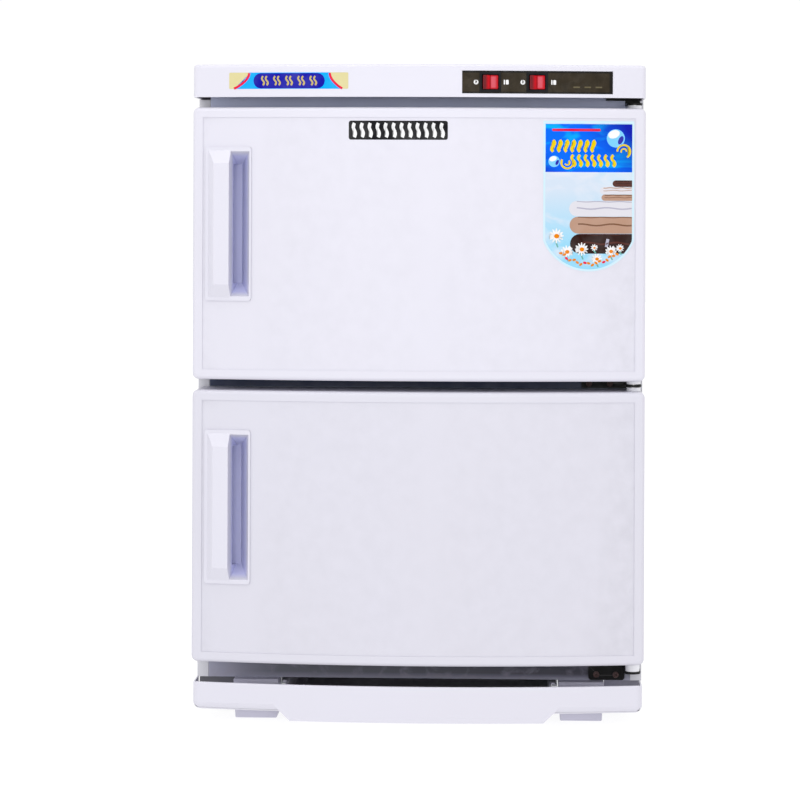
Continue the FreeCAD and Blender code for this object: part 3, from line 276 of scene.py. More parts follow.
def frame_paint():
    """Front frame in pale blue as a painted bluish cast of shade, with painted shade between the doors and
    on its bottom rail, deepest towards the rail's right, and darker blotches low on the rail.
    """
    # pale blue base colour: painted bluish shade, as seen in the door gaps
    made = Finish("frame_paint", (0.68, 0.73, 1.0), 0.45).set(IOR=1.45)
    made.mottled((0.62, 0.67, 0.96), 14, 0.6).smudged(0.14)
    door_gap, rail_low, rail_high = 0.34, 0.0395, 0.066
    # painted shade in the gap between the doors
    above = made.along(UP, door_gap - 0.0125, door_gap - 0.0105)
    below = made.along(UP, door_gap + 0.0125, door_gap + 0.0105)
    made.tint(made.times(above, below), (0.02, 0.04, 0.09))
    # painted shade on the bottom rail below the lower door
    made.tint(made.along(UP, rail_high + 0.009, rail_high), (0.27, 0.26, 0.36))
    # painted shade on the bottom rail, deepening from its left end towards the right
    rail = made.times(made.along(UP, rail_low, rail_low + 0.006),
                      made.along(UP, rail_high + 0.009, rail_high))
    shaded = made.times(rail, made.along(ACROSS, -0.205, -0.14))
    made.tint(made.times(shaded, 0.9), (0.03, 0.03, 0.045))
    # darker blotches towards the bottom of the rail
    low_blotches = made.spread(made.noise(60, 5, warp=0.6), 0.5, 0.7)
    made.tint(made.times(low_blotches, made.along(UP, 0.072, 0.04)), (0.24, 0.22, 0.29))
    made.grained(620, 0.00006, 0.4, 1).worn((0.5, 0.52, 0.58), 0.3).grimy((0.2, 0.2, 0.26), 0.5)
    return made.material


def zinc_sheet():
    """Galvanised sheet with spangle, rolling marks and white bloom."""
    made = Finish("zinc_steel", (0.40, 0.415, 0.43), 0.36, 1.0)
    spangle = made.node("ShaderNodeSeparateColor")
    made.link(made.cells(95)["Color"], spangle.inputs["Color"])
    made.tint(made.times(spangle.outputs["Red"], 0.5), (0.60, 0.615, 0.63))
    made.roughen(spangle.outputs["Green"], 0.16)
    bloom = made.spread(made.noise(22, 5, warp=0.8), 0.55, 0.75)
    made.tint(made.times(bloom, 0.35), (0.66, 0.67, 0.68))
    made.scratched(0.12, 0.00001, (1, 1, 30)).grained(900, 0.00001, 0.3)
    made.worn((0.75, 0.76, 0.77), 0.4)
    return made.material


def brushed_metal(name, colour, rough, stretch=(1, 40, 40), tint=None, depth=0.000012, cloud=0.6):
    """Drawn or turned metal with fine lines along one axis."""
    made = Finish(name, colour, rough, 1.0)
    lines = made.noise(160, 4, stretch=stretch)
    made.roughen(made.spread(lines, 0.3, 0.7), 0.16).relief(lines, depth, 0.5)
    made.mottled(tint or [part * 0.8 for part in colour], 30, cloud).smudged(0.2 * cloud, 45)
    made.worn([min(part * 1.2, 1) for part in colour], 0.5).grimy([part * 0.3 for part in colour], 0.7)
    return made.material


def foam():
    """Rigid foam: open cells on a cut face, with darker patches."""
    made = Finish("foam", (0.83, 0.77, 0.56), 0.9)
    made.mottled((0.74, 0.64, 0.40), 24, 0.7).speckled((0.62, 0.52, 0.32), 850, 0.5)
    made.relief(made.cells(700)["Distance"], 0.0005, 0.7).grained(60, 0.0006, 0.5)
    return made.material


def rubber(name, colour, rough=0.62):
    """Soft matt rubber, paler on its edges."""
    made = Finish(name, colour, rough).set(IOR=1.5, Sheen_Weight=0.15)
    lighter = [min(part * 1.25 + 0.03, 1) for part in colour]
    made.mottled(lighter, 40, 0.5).smudged(0.15, 60).grained(1800, 0.00003, 0.45)
    made.worn(lighter, 0.5).grimy([part * 0.6 for part in colour], 0.4)
    return made.material


def black_moulding():
    """Fine-grained black plastic with greyish edges."""
    made = Finish("black_plastic", (0.005, 0.005, 0.006), 0.36).set(IOR=1.18)
    made.mottled((0.016, 0.016, 0.018), 60, 0.6).smudged(0.2, 90).grained(3000, 0.00002, 0.5)
    made.worn((0.05, 0.05, 0.053), 0.4)
    return made.material


def black_coat(name, colour=(0.006, 0.006, 0.006)):
    """Thin black coat on folded steel, rubbed bright on its edges."""
    made = Finish(name, colour, 0.42).set(IOR=1.25)
    made.mottled([part * 2 for part in colour], 110, 0.6).smudged(0.22, 120).grained(1500, 0.00002, 0.5)
    made.worn((0.16, 0.155, 0.15), 0.4)
    return made.material


def underside_coat():
    """Dark coat below the case, its darkness partly painted shade for the band under the case; lighter and
    greyer on the right-hand skirt.
    """
    # dark base colour: partly painted shade under the case
    made = Finish("underside_coat", (0.03, 0.03, 0.036), 0.6)
    # the right-hand skirt is lighter and greyer
    right_skirt = made.along(ACROSS, 0.1845, 0.1865)
    made.tint(right_skirt, (0.24, 0.23, 0.31))
    made.mottled((0.05, 0.048, 0.06), 40, 0.5).smudged(0.15, 60).grained(500, 0.0001, 0.5)
    made.speckled((0.02, 0.02, 0.025), 600, 0.4).worn((0.2, 0.2, 0.23), 0.4)
    return made.material


def red_rocker(name, label):
    """Translucent red rocker with painted light: painted shade on its deep half, a painted highlight on its
    paler half, and a painted dark line of shade along the crease between them.
    """
    low, high = extent(NODES[label].bound_box)
    middle = (low.x + high.x) / 2
    made = Finish(name, (0.50, 0.003, 0.010), 0.34)
    made.set(IOR=1.2, Subsurface_Weight=0.1)
    made.shader.inputs["Subsurface Radius"].default_value = (0.004, 0.0006, 0.0006)
    made.mottled((0.40, 0.002, 0.01), 160, 0.6).smudged(0.2, 210).grained(4000, 0.000008, 0.3)
    # painted shade: the left half, tilted away from the light, is tinted deep red
    made.tint(made.along(ACROSS, middle - 0.0018, middle - 0.0048), (0.13, 0.014, 0.018))
    # painted highlight on the right half, fading towards the top and bottom
    painted_highlight = made.times(made.along(ACROSS, middle + 0.0002, middle + 0.0014),
                       made.along(ACROSS, middle + 0.0066, middle + 0.0044))
    ends = made.times(made.along(UP, low.z + 0.0005, low.z + 0.0023),
                      made.along(UP, high.z - 0.0005, high.z - 0.0023))
    made.tint(made.times(painted_highlight, ends), (0.56, 0.085, 0.115))
    # painted shade: a dark line along the crease
    crease = made.times(made.along(ACROSS, middle - 0.0008, middle - 0.0003),
                        made.along(ACROSS, middle + 0.0006, middle + 0.0001))
    made.tint(made.times(crease, 0.7), (0.12, 0.0, 0.003)).worn((0.6, 0.05, 0.06), 0.4)
    return made.material


def gloss_film():
    """Dark olive film under a gloss skin, with faint flecks and a black border printed behind it."""
    low, high = extent(NODES["control_panel"].bound_box)
    made = Finish("panel_gloss", (0.018, 0.012, 0.0045), 0.24)
    made.set(IOR=1.22)
    made.mottled((0.036, 0.026, 0.014), 120, 0.7).speckled((0.05, 0.045, 0.02), 420, 0.35)
    right = made.along(ACROSS, high.x - 0.0039, high.x - 0.0022)
    top = made.along(UP, high.z - 0.0022, high.z - 0.0014)
    bottom = made.along(UP, low.z + 0.0019, low.z + 0.0011)
    for border in (right, top, bottom):
        made.tint(made.times(border, 0.85), (0.001, 0.001, 0.001))
    made.smudged(0.22, 60).scratched(0.14, 0.000006, (1, 1, 14), 120)
    return made.material


def heater_laminate():
    """Foil laminate with the heating track pressed through it."""
    made = Finish("heater_foil", (0.74, 0.74, 0.76), 0.34, 0.9)
    ridge = made.spread(made.bands("X", 16), 0.72, 0.9)
    made.relief(ridge, 0.0004, 0.8).tint(made.times(ridge, 0.4), (0.62, 0.58, 0.5))
    made.grained(160, 0.0002, 0.6).mottled((0.6, 0.6, 0.62), 50, 0.6)
    return made.material


def lamp_glass():
    """Clear tube with a faint violet film."""
    made = Finish("lamp_glass", (0.86, 0.88, 0.97), 0.06)
    made.set(IOR=1.46, Transmission_Weight=0.75)
    made.mottled((0.7, 0.72, 0.88), 60, 0.6).smudged(0.12, 90).grained(800, 0.000004, 0.3)
    return made.material


def moulded(name, colour, rough, per_metre=1800, depth=0.00003):
    """A general moulded or formed plastic."""
    made = Finish(name, colour, rough).set(IOR=1.5)
    made.mottled([part * 0.93 for part in colour], 30, 0.6).smudged(0.14, 60).grained(per_metre, depth, 0.4)
    made.worn([min(part * 1.15 + 0.02, 1) for part in colour], 0.4)
    made.grimy([part * 0.55 for part in colour], 0.5)
    return made.material


def varnished_core():
    """Stacked core plates under grey varnish."""
    made = Finish("ballast_steel", (0.36, 0.37, 0.38), 0.45, 0.5)
    made.relief(made.bands("Y", 320), 0.0001, 0.8).mottled((0.26, 0.22, 0.18), 60, 0.6)
    made.smudged(0.2, 90).worn((0.6, 0.6, 0.6), 0.5)
    return made.material


def printed(name, colour):
    """Ink on a film label: a fine dot screen and slight fading."""
    made = Finish(name, colour, 0.4).set(IOR=1.12)
    paler = [part + (1 - part) * 0.05 for part in colour]
    made.mottled(paler, 60, 0.6).speckled([part * 0.8 for part in colour], 2600, 0.35)
    made.smudged(0.12, 90).grained(3000, 0.000006, 0.3)
    return made.material


def header_ink():
    """Blue print that is bright in the middle and deep towards two of its corners."""
    made = Finish("ink_header", (0.0, 0.12, 0.78), 0.36).set(IOR=1.12)
    streaks = made.spread(made.noise(26, 2, stretch=(1, 1, 2.6), warp=0.9), 0.52, 0.7)
    made.tint(streaks, (0.0, 0.36, 0.90))
    made.tint(made.along(ACROSS_AND_UP, 0.482, 0.522), (0.004, 0.01, 0.34))
    made.tint(made.along(ACROSS_AND_UP, 0.450, 0.432, 0.0, 0.7), (0.004, 0.02, 0.42))
    made.speckled((0.02, 0.2, 0.8), 2200, 0.3).smudged(0.12, 90)
    return made.material


def sky_ink():
    """Pale sky print with soft cloud."""
    made = Finish("ink_sky", (0.26, 0.56, 0.74), 0.4).set(IOR=1.12)
    made.tint(made.along(UP, 0.478, 0.536, 0.0, 0.8), (0.60, 0.62, 0.70))
    made.tint(made.times(made.along(ACROSS_AND_UP, 0.465, 0.490), 0.8), (0.36, 0.62, 0.74))
    cloud = made.spread(made.noise(38, 3, stretch=(1, 1, 1.6), warp=0.5), 0.5, 0.68)
    made.tint(made.times(cloud, 0.7), (0.63, 0.65, 0.72))
    made.speckled((0.4, 0.62, 0.76), 2200, 0.2).smudged(0.12, 90)
    return made.material


FINISHES = {
    "white_plastic": moulded_white("white_plastic"),
    "handle_plastic": handle_white(),
    "white_steel": powder_coat("white_steel", (0.68, 0.68, 0.73)),
    "zinc_steel": zinc_sheet(),
    "frame_paint": frame_paint(),
    "underside_coat": underside_coat(),
    # dark navy trim: its colour is painted shade for the deep gap between the doors
    "dark_trim": moulded("dark_trim", (0.008, 0.018, 0.066), 0.5),
    "foam": foam(),
    "liner_aluminium": brushed_metal("liner_aluminium", (0.80, 0.81, 0.82), 0.36, cloud=0.15),
    "heater_foil": heater_laminate(),
    "brown_phenolic": moulded("brown_phenolic", (0.12, 0.045, 0.02), 0.4, 1200, 0.00004),
    "fuse_metal": brushed_metal("fuse_metal", (0.7, 0.69, 0.66), 0.3, (1, 30, 30)),
    "rack_chrome": brushed_metal("rack_chrome", (0.84, 0.84, 0.85), 0.12, (30, 1, 30), (0.6, 0.6, 0.62),
                                 0.000004),
    "lamp_glass": lamp_glass(),
    "lamp_holder_plastic": moulded("lamp_holder_plastic", (0.78, 0.77, 0.72), 0.45),
    "ballast_steel": varnished_core(),
    "loom_rubber": rubber("loom_rubber", (0.022, 0.022, 0.024), 0.55),
    "black_plastic": black_moulding(),
    "red_rocker": red_rocker("red_rocker", "heat_switch_rocker"),
    "panel_gloss": gloss_film(),
    "black_steel": black_coat("black_steel"),
    "pin_steel": brushed_metal("pin_steel", (0.62, 0.61, 0.6), 0.25, (1, 1, 60)),
    "dark_screw": black_coat("dark_screw", (0.07, 0.04, 0.038)),
    "screw_steel": brushed_metal("screw_steel", (0.66, 0.65, 0.62), 0.3, (1, 1, 1), (0.5, 0.46, 0.38)),
    "bush_nylon": moulded("bush_nylon", (0.72, 0.72, 0.76), 0.4),
    "liner_plastic": moulded_white("liner_plastic", (0.69, 0.69, 0.73), 0.36),
    "gasket_rubber": rubber("gasket_rubber", (0.62, 0.63, 0.66)),
    "foot_plastic": moulded("foot_plastic", (0.50, 0.49, 0.59), 0.45),
}


for label, piece in NODES.items():
    piece.data.materials.clear()
    piece.data.materials.append(FINISHES[SLOT_OF[label]])

# the second rocker has its own painted crease shade and highlight, and the lower door gets a darker copy of
# the same white as painted shade, since less light reaches it
for label, finish in (
    ("uv_switch_rocker", red_rocker("red_rocker_second", "uv_switch_rocker")),
    ("lower_door_shell", moulded_white("white_plastic_lower_shaded", [part * 0.945 for part in WHITE])),
):
    NODES[label].data.materials[0] = finish


# ---------------------------------------------------------------- mesh helpers

def add_piece(name, mesh, body, finish):
    """Turn a mesh into a piece that rides on a body, smooth apart from its sharp edges."""
    bmesh.ops.remove_doubles(mesh, verts=mesh.verts, dist=1e-6)
    bmesh.ops.recalc_face_normals(mesh, faces=mesh.faces)
    limit = math.radians(32)
    for face in mesh.faces:
        face.smooth = True
    for edge in mesh.edges:
        edge.smooth = len(edge.link_faces) == 2 and edge.calc_face_angle(0) < limit
    data = bpy.data.meshes.new(name)
    mesh.to_mesh(data)
    mesh.free()
    piece = bpy.data.objects.new(name, data)
    SCENE.collection.objects.link(piece)
    data.materials.append(finish)
    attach(piece, body)
    return piece


def soften(label, width):
    """Round off the sharp edges of a sub-part."""
    piece = NODES[label]
    weld = piece.modifiers.new("weld", "WELD")
    weld.merge_threshold = 2e-6
    bevel = piece.modifiers.new("soft edges", "BEVEL")
    bevel.width = width
    bevel.segments = 3
    bevel.limit_method = "ANGLE"
    bevel.angle_limit = math.radians(28)
    bevel.harden_normals = True
    bevel.use_clamp_overlap = True


def arc_points(centre, radius, start, end, count):
    """Points on an arc between two angles in degrees."""
    points = []
    for index in range(count + 1):
        angle = math.radians(start + (end - start) * index / count)
        points.append((centre[0] + radius * math.cos(angle), centre[1] + radius * math.sin(angle)))
    return points


def bow_y(x, inset):
    """The bowed front at a place across the cabinet, inwards by an inset."""
    radius = BOW_RADIUS - inset
    return BOW_CENTRE_Y - math.sqrt(radius * radius - x * x)


def bowed_plate(name, outline, inset, thick, finish, body):
    """A thin closed plate that lies along the bow; its outline is in millimetres, as (across, up)."""
    strip = 0.008
    flat = bmesh.new()
    flat.faces.new([flat.verts.new((x * MM, 0, z * MM)) for x, z in outline])
    bmesh.ops.triangulate(flat, faces=flat.faces[:])
    low, high = extent([vert.co for vert in flat.verts])
    for step in range(math.ceil(low.x / strip), math.floor(high.x / strip) + 1):
        everything = flat.verts[:] + flat.edges[:] + flat.faces[:]
        cut = (step * strip, 0, 0)
        bmesh.ops.bisect_plane(flat, geom=everything, plane_co=cut, plane_no=ACROSS, dist=1e-7)
    bmesh.ops.remove_doubles(flat, verts=flat.verts, dist=1e-6)
    flat.verts.ensure_lookup_table()
    plate = bmesh.new()
    outer = [plate.verts.new((v.co.x, bow_y(v.co.x, inset - thick), v.co.z)) for v in flat.verts]
    inner = [plate.verts.new((v.co.x, bow_y(v.co.x, inset), v.co.z)) for v in flat.verts]
    for face in flat.faces:
        indices = [vert.index for vert in face.verts]
        plate.faces.new([outer[index] for index in indices])
        plate.faces.new([inner[index] for index in reversed(indices)])
    for edge in flat.edges:
        if len(edge.link_faces) == 1:
            first, second = (vert.index for vert in edge.verts)
            plate.faces.new([outer[first], outer[second], inner[second], inner[first]])
    flat.free()
    add_piece(name, plate, body, finish)


def revolved(mesh, profile, place, segments):
    """Spin a profile of (radius, height) pairs about the local z axis of a placement."""
    rings = []
    for radius, height in profile:
        if radius < 1e-7:
            rings.append([mesh.verts.new(place @ Vector((0, 0, height)))])
            continue
        ring = []
        for index in range(segments):
            angle = 2 * math.pi * index / segments
            spot = Vector((radius * math.cos(angle), radius * math.sin(angle), height))
            ring.append(mesh.verts.new(place @ spot))
        rings.append(ring)
    for lower, upper in zip(rings, rings[1:]):
        for index in range(segments):
            after = (index + 1) % segments
            if len(lower) == 1:
                mesh.faces.new([lower[0], upper[after], upper[index]])
            elif len(upper) == 1:
                mesh.faces.new([lower[index], lower[after], upper[0]])
            else:
                mesh.faces.new([lower[index], lower[after], upper[after], upper[index]])


# ---------------------------------------------------------------- screws

HEAD_RADIUS, HEAD_HIGH = 0.0032, 0.0016
SHANK_RADIUS, SHANK_LONG = 0.0016, 0.007
RECESS_HALF_ARM, RECESS_REACH, RECESS_DEEP = 0.0004, 0.0018, 0.001


def screw_profile(flat_radius, flat_high):
    """Half outline of a pan-head screw, from the tip of its shank up to the flat top of its head."""
    shank = [(0, -SHANK_LONG), (SHANK_RADIUS * 0.5, -SHANK_LONG), (SHANK_RADIUS, -SHANK_LONG * 0.85),
             (SHANK_RADIUS, 0)]
    skirt = [(HEAD_RADIUS - 0.0002, 0), (HEAD_RADIUS, 0.0002), (HEAD_RADIUS, HEAD_HIGH * 0.45)]
    dome = []
    for step in range(1, 4):
        angle = math.radians(90 * step / 4)
        dome.append((HEAD_RADIUS * (0.72 + 0.28 * math.cos(angle)),
                     HEAD_HIGH * (0.45 + 0.5 * math.sin(angle))))
    return shank + skirt + dome + [(flat_radius, flat_high)]


def recess_outline():
    """The cross in the head: an inner corner and the end of one arm, turned four times."""
    corner = [(RECESS_HALF_ARM, RECESS_HALF_ARM), (RECESS_HALF_ARM, RECESS_REACH),
              (-RECESS_HALF_ARM, RECESS_REACH)]
    cross = []
    for _ in range(4):
        cross += corner
        corner = [(-y, x) for x, y in corner]
    return cross


def screw_mesh(places):
    """Pan-head screws with a crossed recess; each place maps z onto the outward axis."""
    segments = 24
    flat_radius, flat_high = HEAD_RADIUS * 0.66, HEAD_HIGH * 0.98
    cross = recess_outline()
    rim = arc_points((0, 0), flat_radius, 0, 360 - 360 / segments, segments - 1)
    mesh = bmesh.new()
    for place in places:
        revolved(mesh, screw_profile(flat_radius, flat_high), place, segments)
        edge = [mesh.verts.new(place @ Vector((x, y, flat_high))) for x, y in rim]
        top = [mesh.verts.new(place @ Vector((x, y, flat_high))) for x, y in cross]
        floor_high = flat_high - RECESS_DEEP
        floor = [mesh.verts.new(place @ Vector((x * 0.55, y * 0.55, floor_high))) for x, y in cross]
        loops = []
        for ring in (edge, top):
            loops += [mesh.edges.new((ring[index - 1], ring[index])) for index in range(len(ring))]
        bmesh.ops.triangle_fill(mesh, edges=loops, use_beauty=True)
        for index in range(len(cross)):
            after = (index + 1) % len(cross)
            mesh.faces.new([top[index], top[after], floor[after], floor[index]])
        mesh.faces.new(floor)
    return mesh


def screws_of(label):
    """The points of each screw in a group, one list for each separate solid."""
    mesh = bmesh.new()
    mesh.from_mesh(NODES[label].data)
    bmesh.ops.remove_doubles(mesh, verts=mesh.verts, dist=1e-6)
    left = set(mesh.verts)
    islands = []
    while left:
        island, to_visit = set(), [left.pop()]
        while to_visit:
            vert = to_visit.pop()
            island.add(vert)
            for edge in vert.link_edges:
                other = edge.other_vert(vert)
                if other in left:
                    left.discard(other)
                    to_visit.append(other)
        islands.append([vert.co.copy() for vert in island])
    mesh.free()
    return islands


def screw_order(island):
    """Sorts screws from left to right, then from front to back, then upwards."""
    return [round(value, 4) for value in extent(island)[0]]


def screw_place(island):
    """Placement of one screw: its axis is the long way of the island, and the head is at the wide end."""
    low, high = extent(island)
    size = high - low
    axis = max(range(3), key=lambda index: size[index])
    middle = (low + high) / 2
    wide = max(island, key=lambda co: (co - middle).length - abs(co[axis] - middle[axis]))
    outward = Vector((0, 0, 0))
    outward[axis] = 1 if wide[axis] > middle[axis] else -1
    seat = middle.copy()
    seat[axis] = (high if outward[axis] > 0 else low)[axis] - outward[axis] * HEAD_HIGH
    turn = Vector((0, 0, 1)).rotation_difference(outward).to_matrix().to_4x4()
    spin = Matrix.Rotation(random.uniform(0, math.pi / 2), 4, "Z")
    return Matrix.Translation(seat) @ turn @ spin


for label in ("rear_panel_screws", "top_cover_screws", "hinge_screws", "foot_screws"):
    places = [screw_place(island) for island in sorted(screws_of(label), key=screw_order)]
    slot = SLOT_OF[label]
    made = add_piece(label + "_cross", screw_mesh(places), BODY_OF[label], FINISHES[slot])
    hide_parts(label)


# ---------------------------------------------------------------- soft edges on the sub-parts

for label, width in (
    ("upper_door_handle", 0.0007), ("lower_door_handle", 0.0007),
    ("heat_switch_housing", 0.0004), ("uv_switch_housing", 0.0004),
    ("heat_switch_rocker", 0.0008), ("uv_switch_rocker", 0.0008),
    ("foot_front_left", 0.0012), ("foot_front_right", 0.0012), ("foot_rear_left", 0.0012),
    ("foot_rear_right", 0.0012), ("middle_hinge_bracket", 0.0003), ("bottom_hinge_bracket", 0.0003),
    ("top_hinge_bracket", 0.0003), ("cable_gland", 0.0005), ("uv_ballast", 0.0006),
    ("uv_lamp_holders", 0.0008), ("terminal_block", 0.0004), ("uv_starter", 0.0006),
):
    soften(label, width)


# ---------------------------------------------------------------- artwork on the upper door and the cover

FIELD_INSET = 0.0007
CARD_THICK = 0.00025
INK_THICK = 0.00004
INKS = {
    "border": printed("ink_border", (0.52, 0.68, 0.76)),
    "header": header_ink(),
    "sky": sky_ink(),
    "white": printed("ink_white", (0.74, 0.74, 0.75)),
    "yellow": printed("ink_yellow", (0.68, 0.50, 0.0)),
    "orange": printed("ink_orange", (0.66, 0.19, 0.0)),
    "red": printed("ink_red", (0.66, 0.002, 0.04)),
    "tan": printed("ink_tan", (0.40, 0.24, 0.17)),
    "dark_tan": printed("ink_dark_tan", (0.17, 0.08, 0.045)),
    "brown": printed("ink_brown", (0.022, 0.006, 0.004)),
    "light_brown": printed("ink_light_brown", (0.07, 0.018, 0.012)),
    "towel": printed("ink_towel", (0.60, 0.59, 0.64)),
    "towel_shade": printed("ink_towel_shade", (0.38, 0.37, 0.46)),
    "green": printed("ink_green", (0.12, 0.34, 0.30)),
    "navy": printed("ink_navy", (0.006, 0.006, 0.30)),
    "blue": printed("ink_blue", (0.0, 0.34, 0.88)),
    "bubble": printed("ink_bubble", (0.16, 0.50, 0.90)),
    "gold": printed("ink_gold", (0.48, 0.37, 0.13)),
    "beige": printed("ink_beige", (0.60, 0.54, 0.28)),
    "black": printed("ink_black", (0.006, 0.006, 0.008)),
    "olive": printed("ink_olive", (0.11, 0.09, 0.045)),
}


class Artwork:
    """Layers of ink that stand on one another along the bow."""

    def __init__(self, name, inset, body, slot):
        self.name = name
        self.inset = inset
        self.body = body
        self.slot = slot
        self.count = 0

    def ink(self, outline, colour, layer):
        """Put down one shape; layer 0 lies on the surface and each next one stands on the one before."""
        self.count += 1
        name = f"{self.name}_{self.count:02d}"
        top = self.inset - layer * INK_THICK
        bowed_plate(name, outline, top, INK_THICK, INKS[colour], self.body)


def ellipse(centre, half_x, half_z, turn=0.0, count=20):
    """An ellipse that leans by a turn in degrees."""
    points = []
    lean = math.radians(turn)
    for index in range(count):
        angle = 2 * math.pi * index / count
        across, up = half_x * math.cos(angle), half_z * math.sin(angle)
        points.append((centre[0] + across * math.cos(lean) - up * math.sin(lean),
                       centre[1] + across * math.sin(lean) + up * math.cos(lean)))
    return points


def block(left, right, low, high, round_off=0.0):
    """A rectangle, with round corners if a radius is given."""
    if not round_off:
        return [(left, low), (right, low), (right, high), (left, high)]
    points = []
    near_left, near_right = left + round_off, right - round_off
    near_low, near_high = low + round_off, high - round_off
    centres = ((near_right, near_low), (near_right, near_high),
               (near_left, near_high), (near_left, near_low))
    for centre, start in zip(centres, (-90, 0, 90, 180)):
        points += arc_points(centre, round_off, start, start + 90, 4)
    return points


def ribbon(spine, width):
    """A band of even width along a row of points."""
    upper, lower = [], []
    for index, (x, z) in enumerate(spine):
        before = spine[max(index - 1, 0)]
        after = spine[min(index + 1, len(spine) - 1)]
        along = Vector((after[0] - before[0], after[1] - before[1])).normalized()
        upper.append((x - along.y * width / 2, z + along.x * width / 2))
        lower.append((x + along.y * width / 2, z - along.x * width / 2))
    return lower + upper[::-1]


def steam(x, z, high, sway, width):
    """A rising wave of steam."""
    steps = 14
    spine = []
    for step in range(steps + 1):
        spine.append((x + sway * math.sin(2 * math.pi * step / steps), z + high * step / steps))
    return ribbon(spine, width)


def blossom(centre, reach, petals):
    """Outline of a flower with narrow petals."""
    points = []
    count = petals * 8
    for step in range(count):
        turn = 2 * math.pi * step / count
        radius = reach * (0.76 + 0.24 * math.cos(petals * turn))
        points.append((centre[0] + radius * math.cos(turn), centre[1] + radius * math.sin(turn)))
    return points


CARD_LEFT, CARD_RIGHT, CARD_LOW, CARD_HIGH = 123.5, 213.4, 453.9, 602.5
CARD_MARGIN = 2.0
CARD_MIDDLE = (CARD_LEFT + CARD_RIGHT) / 2
CARD_HALF = (CARD_RIGHT - CARD_LEFT) / 2
# the card's rounded bottom is one arc, which starts at a height of 484
BOTTOM_DEEP = 484 - CARD_LOW
BOTTOM_RADIUS = (CARD_HALF * CARD_HALF + BOTTOM_DEEP * BOTTOM_DEEP) / (2 * BOTTOM_DEEP)
BOTTOM_REACH = math.degrees(math.asin(CARD_HALF / BOTTOM_RADIUS))
BOTTOM_CENTRE_Z = CARD_LOW + BOTTOM_RADIUS


def card_outline(inwards):
    """The edge of the card, moved inwards."""
    left, right, high = CARD_LEFT + inwards, CARD_RIGHT - inwards, CARD_HIGH - inwards
    bottom = arc_points((CARD_MIDDLE, BOTTOM_CENTRE_Z), BOTTOM_RADIUS - inwards,
                        -90 - BOTTOM_REACH, -90 + BOTTOM_REACH, 24)
    return [(min(max(x, left), right), z) for x, z in bottom] + [(right, high), (left, high)]


def picture_edge(z):
    """How far to the right the picture reaches at a height."""
    rise = max(BOTTOM_CENTRE_Z - z, 0)
    reach = math.sqrt((BOTTOM_RADIUS - CARD_MARGIN) ** 2 - rise * rise)
    return min(CARD_RIGHT - CARD_MARGIN, CARD_MIDDLE + reach)


def fold(left, low, high):
    """A folded towel seen from its side: round at the left, cut off by the picture's edge at the right."""
    bulge = (high - low) / 2
    heights = [low + (high - low) * step / 8 for step in range(9)]
    cut_off = [(picture_edge(z), z) for z in heights]
    return arc_points((left + bulge, low + bulge), bulge, 90, 270, 10) + cut_off


def card_head(art):
    """Blue head of the card: a bar, two rows of steam, two curls and two bubbles."""
    head_low = 552.0
    art.ink(block(CARD_LEFT + CARD_MARGIN, CARD_RIGHT - CARD_MARGIN, head_low, CARD_HIGH - CARD_MARGIN - 1),
            "header", 1)
    art.ink(block(132, 180, 592.4, 594.8, 1.0), "red", 2)
    for start, bottom, sway in ((133, 572, -1.7), (153, 557.5, 1.7)):
        for index in range(7):
            art.ink(steam(start + index * 6.6, bottom, 11.5, sway, 2.7), "yellow", 2)
    for centre, size, start in (((147, 561.5), 6.0, 150), ((203, 572.5), 6.5, -60)):
        outer = arc_points(centre, size, start, start + 240, 18)
        inner = arc_points(centre, size * 0.42, start + 60, start + 260, 14)
        art.ink(ribbon(outer, 1.8), "yellow", 2)
        art.ink(ribbon(inner, 1.4), "yellow", 2)
    for (x, z), size in (((195, 585.5), 9.0), ((134, 562.5), 5.6)):
        glint = ellipse((x - size * 0.2, z + size * 0.45), size * 0.66, size * 0.44, 20)
        shade = ellipse((x + size * 0.55, z - size * 0.2), size * 0.26, size * 0.5, -25)
        art.ink(ellipse((x, z), size, size, 0, 32), "bubble", 2)
        art.ink(glint, "white", 3)
        art.ink(shade, "navy", 3)


def card_towels(art):
    """Stack of folded towels, each given by its left end, low, high, colour and crease colour."""
    stack = (
        (150, 471.5, 491.0, "brown", "light_brown"),
        (149.5, 491.3, 508.0, "tan", "dark_tan"),
        (149, 508.3, 523.5, "towel", "towel_shade"),
        (181, 523.8, 530.0, "tan", "dark_tan"),
        (179.5, 530.3, 537.2, "towel", "tan"),
        (192, 537.5, 544.0, "light_brown", "brown"),
    )
    for index, (left, low, high, face, shade) in enumerate(stack):
        tall = high - low
        art.ink(fold(left, low, high), face, 1)
        start = left + tall * 0.5
        length = picture_edge(low + tall * 0.45) - 0.3 - start
        crease, hem = [], []
        for step in range(13):
            x = start + length * step / 12
            crease.append((x, low + tall * (0.52 + 0.05 * math.sin(step * 0.9 + index))))
            hem.append((x, high - 0.7 + 0.3 * math.sin(step * 1.3 + index)))
        art.ink(ribbon(crease, max(tall * 0.09, 0.6)), shade, 2)
        art.ink(ribbon(hem, 0.9), shade, 2)
    pale_tab = [(186, 478), (187.5, 486)]
    art.ink(ribbon(pale_tab, 3.0), "towel_shade", 2)


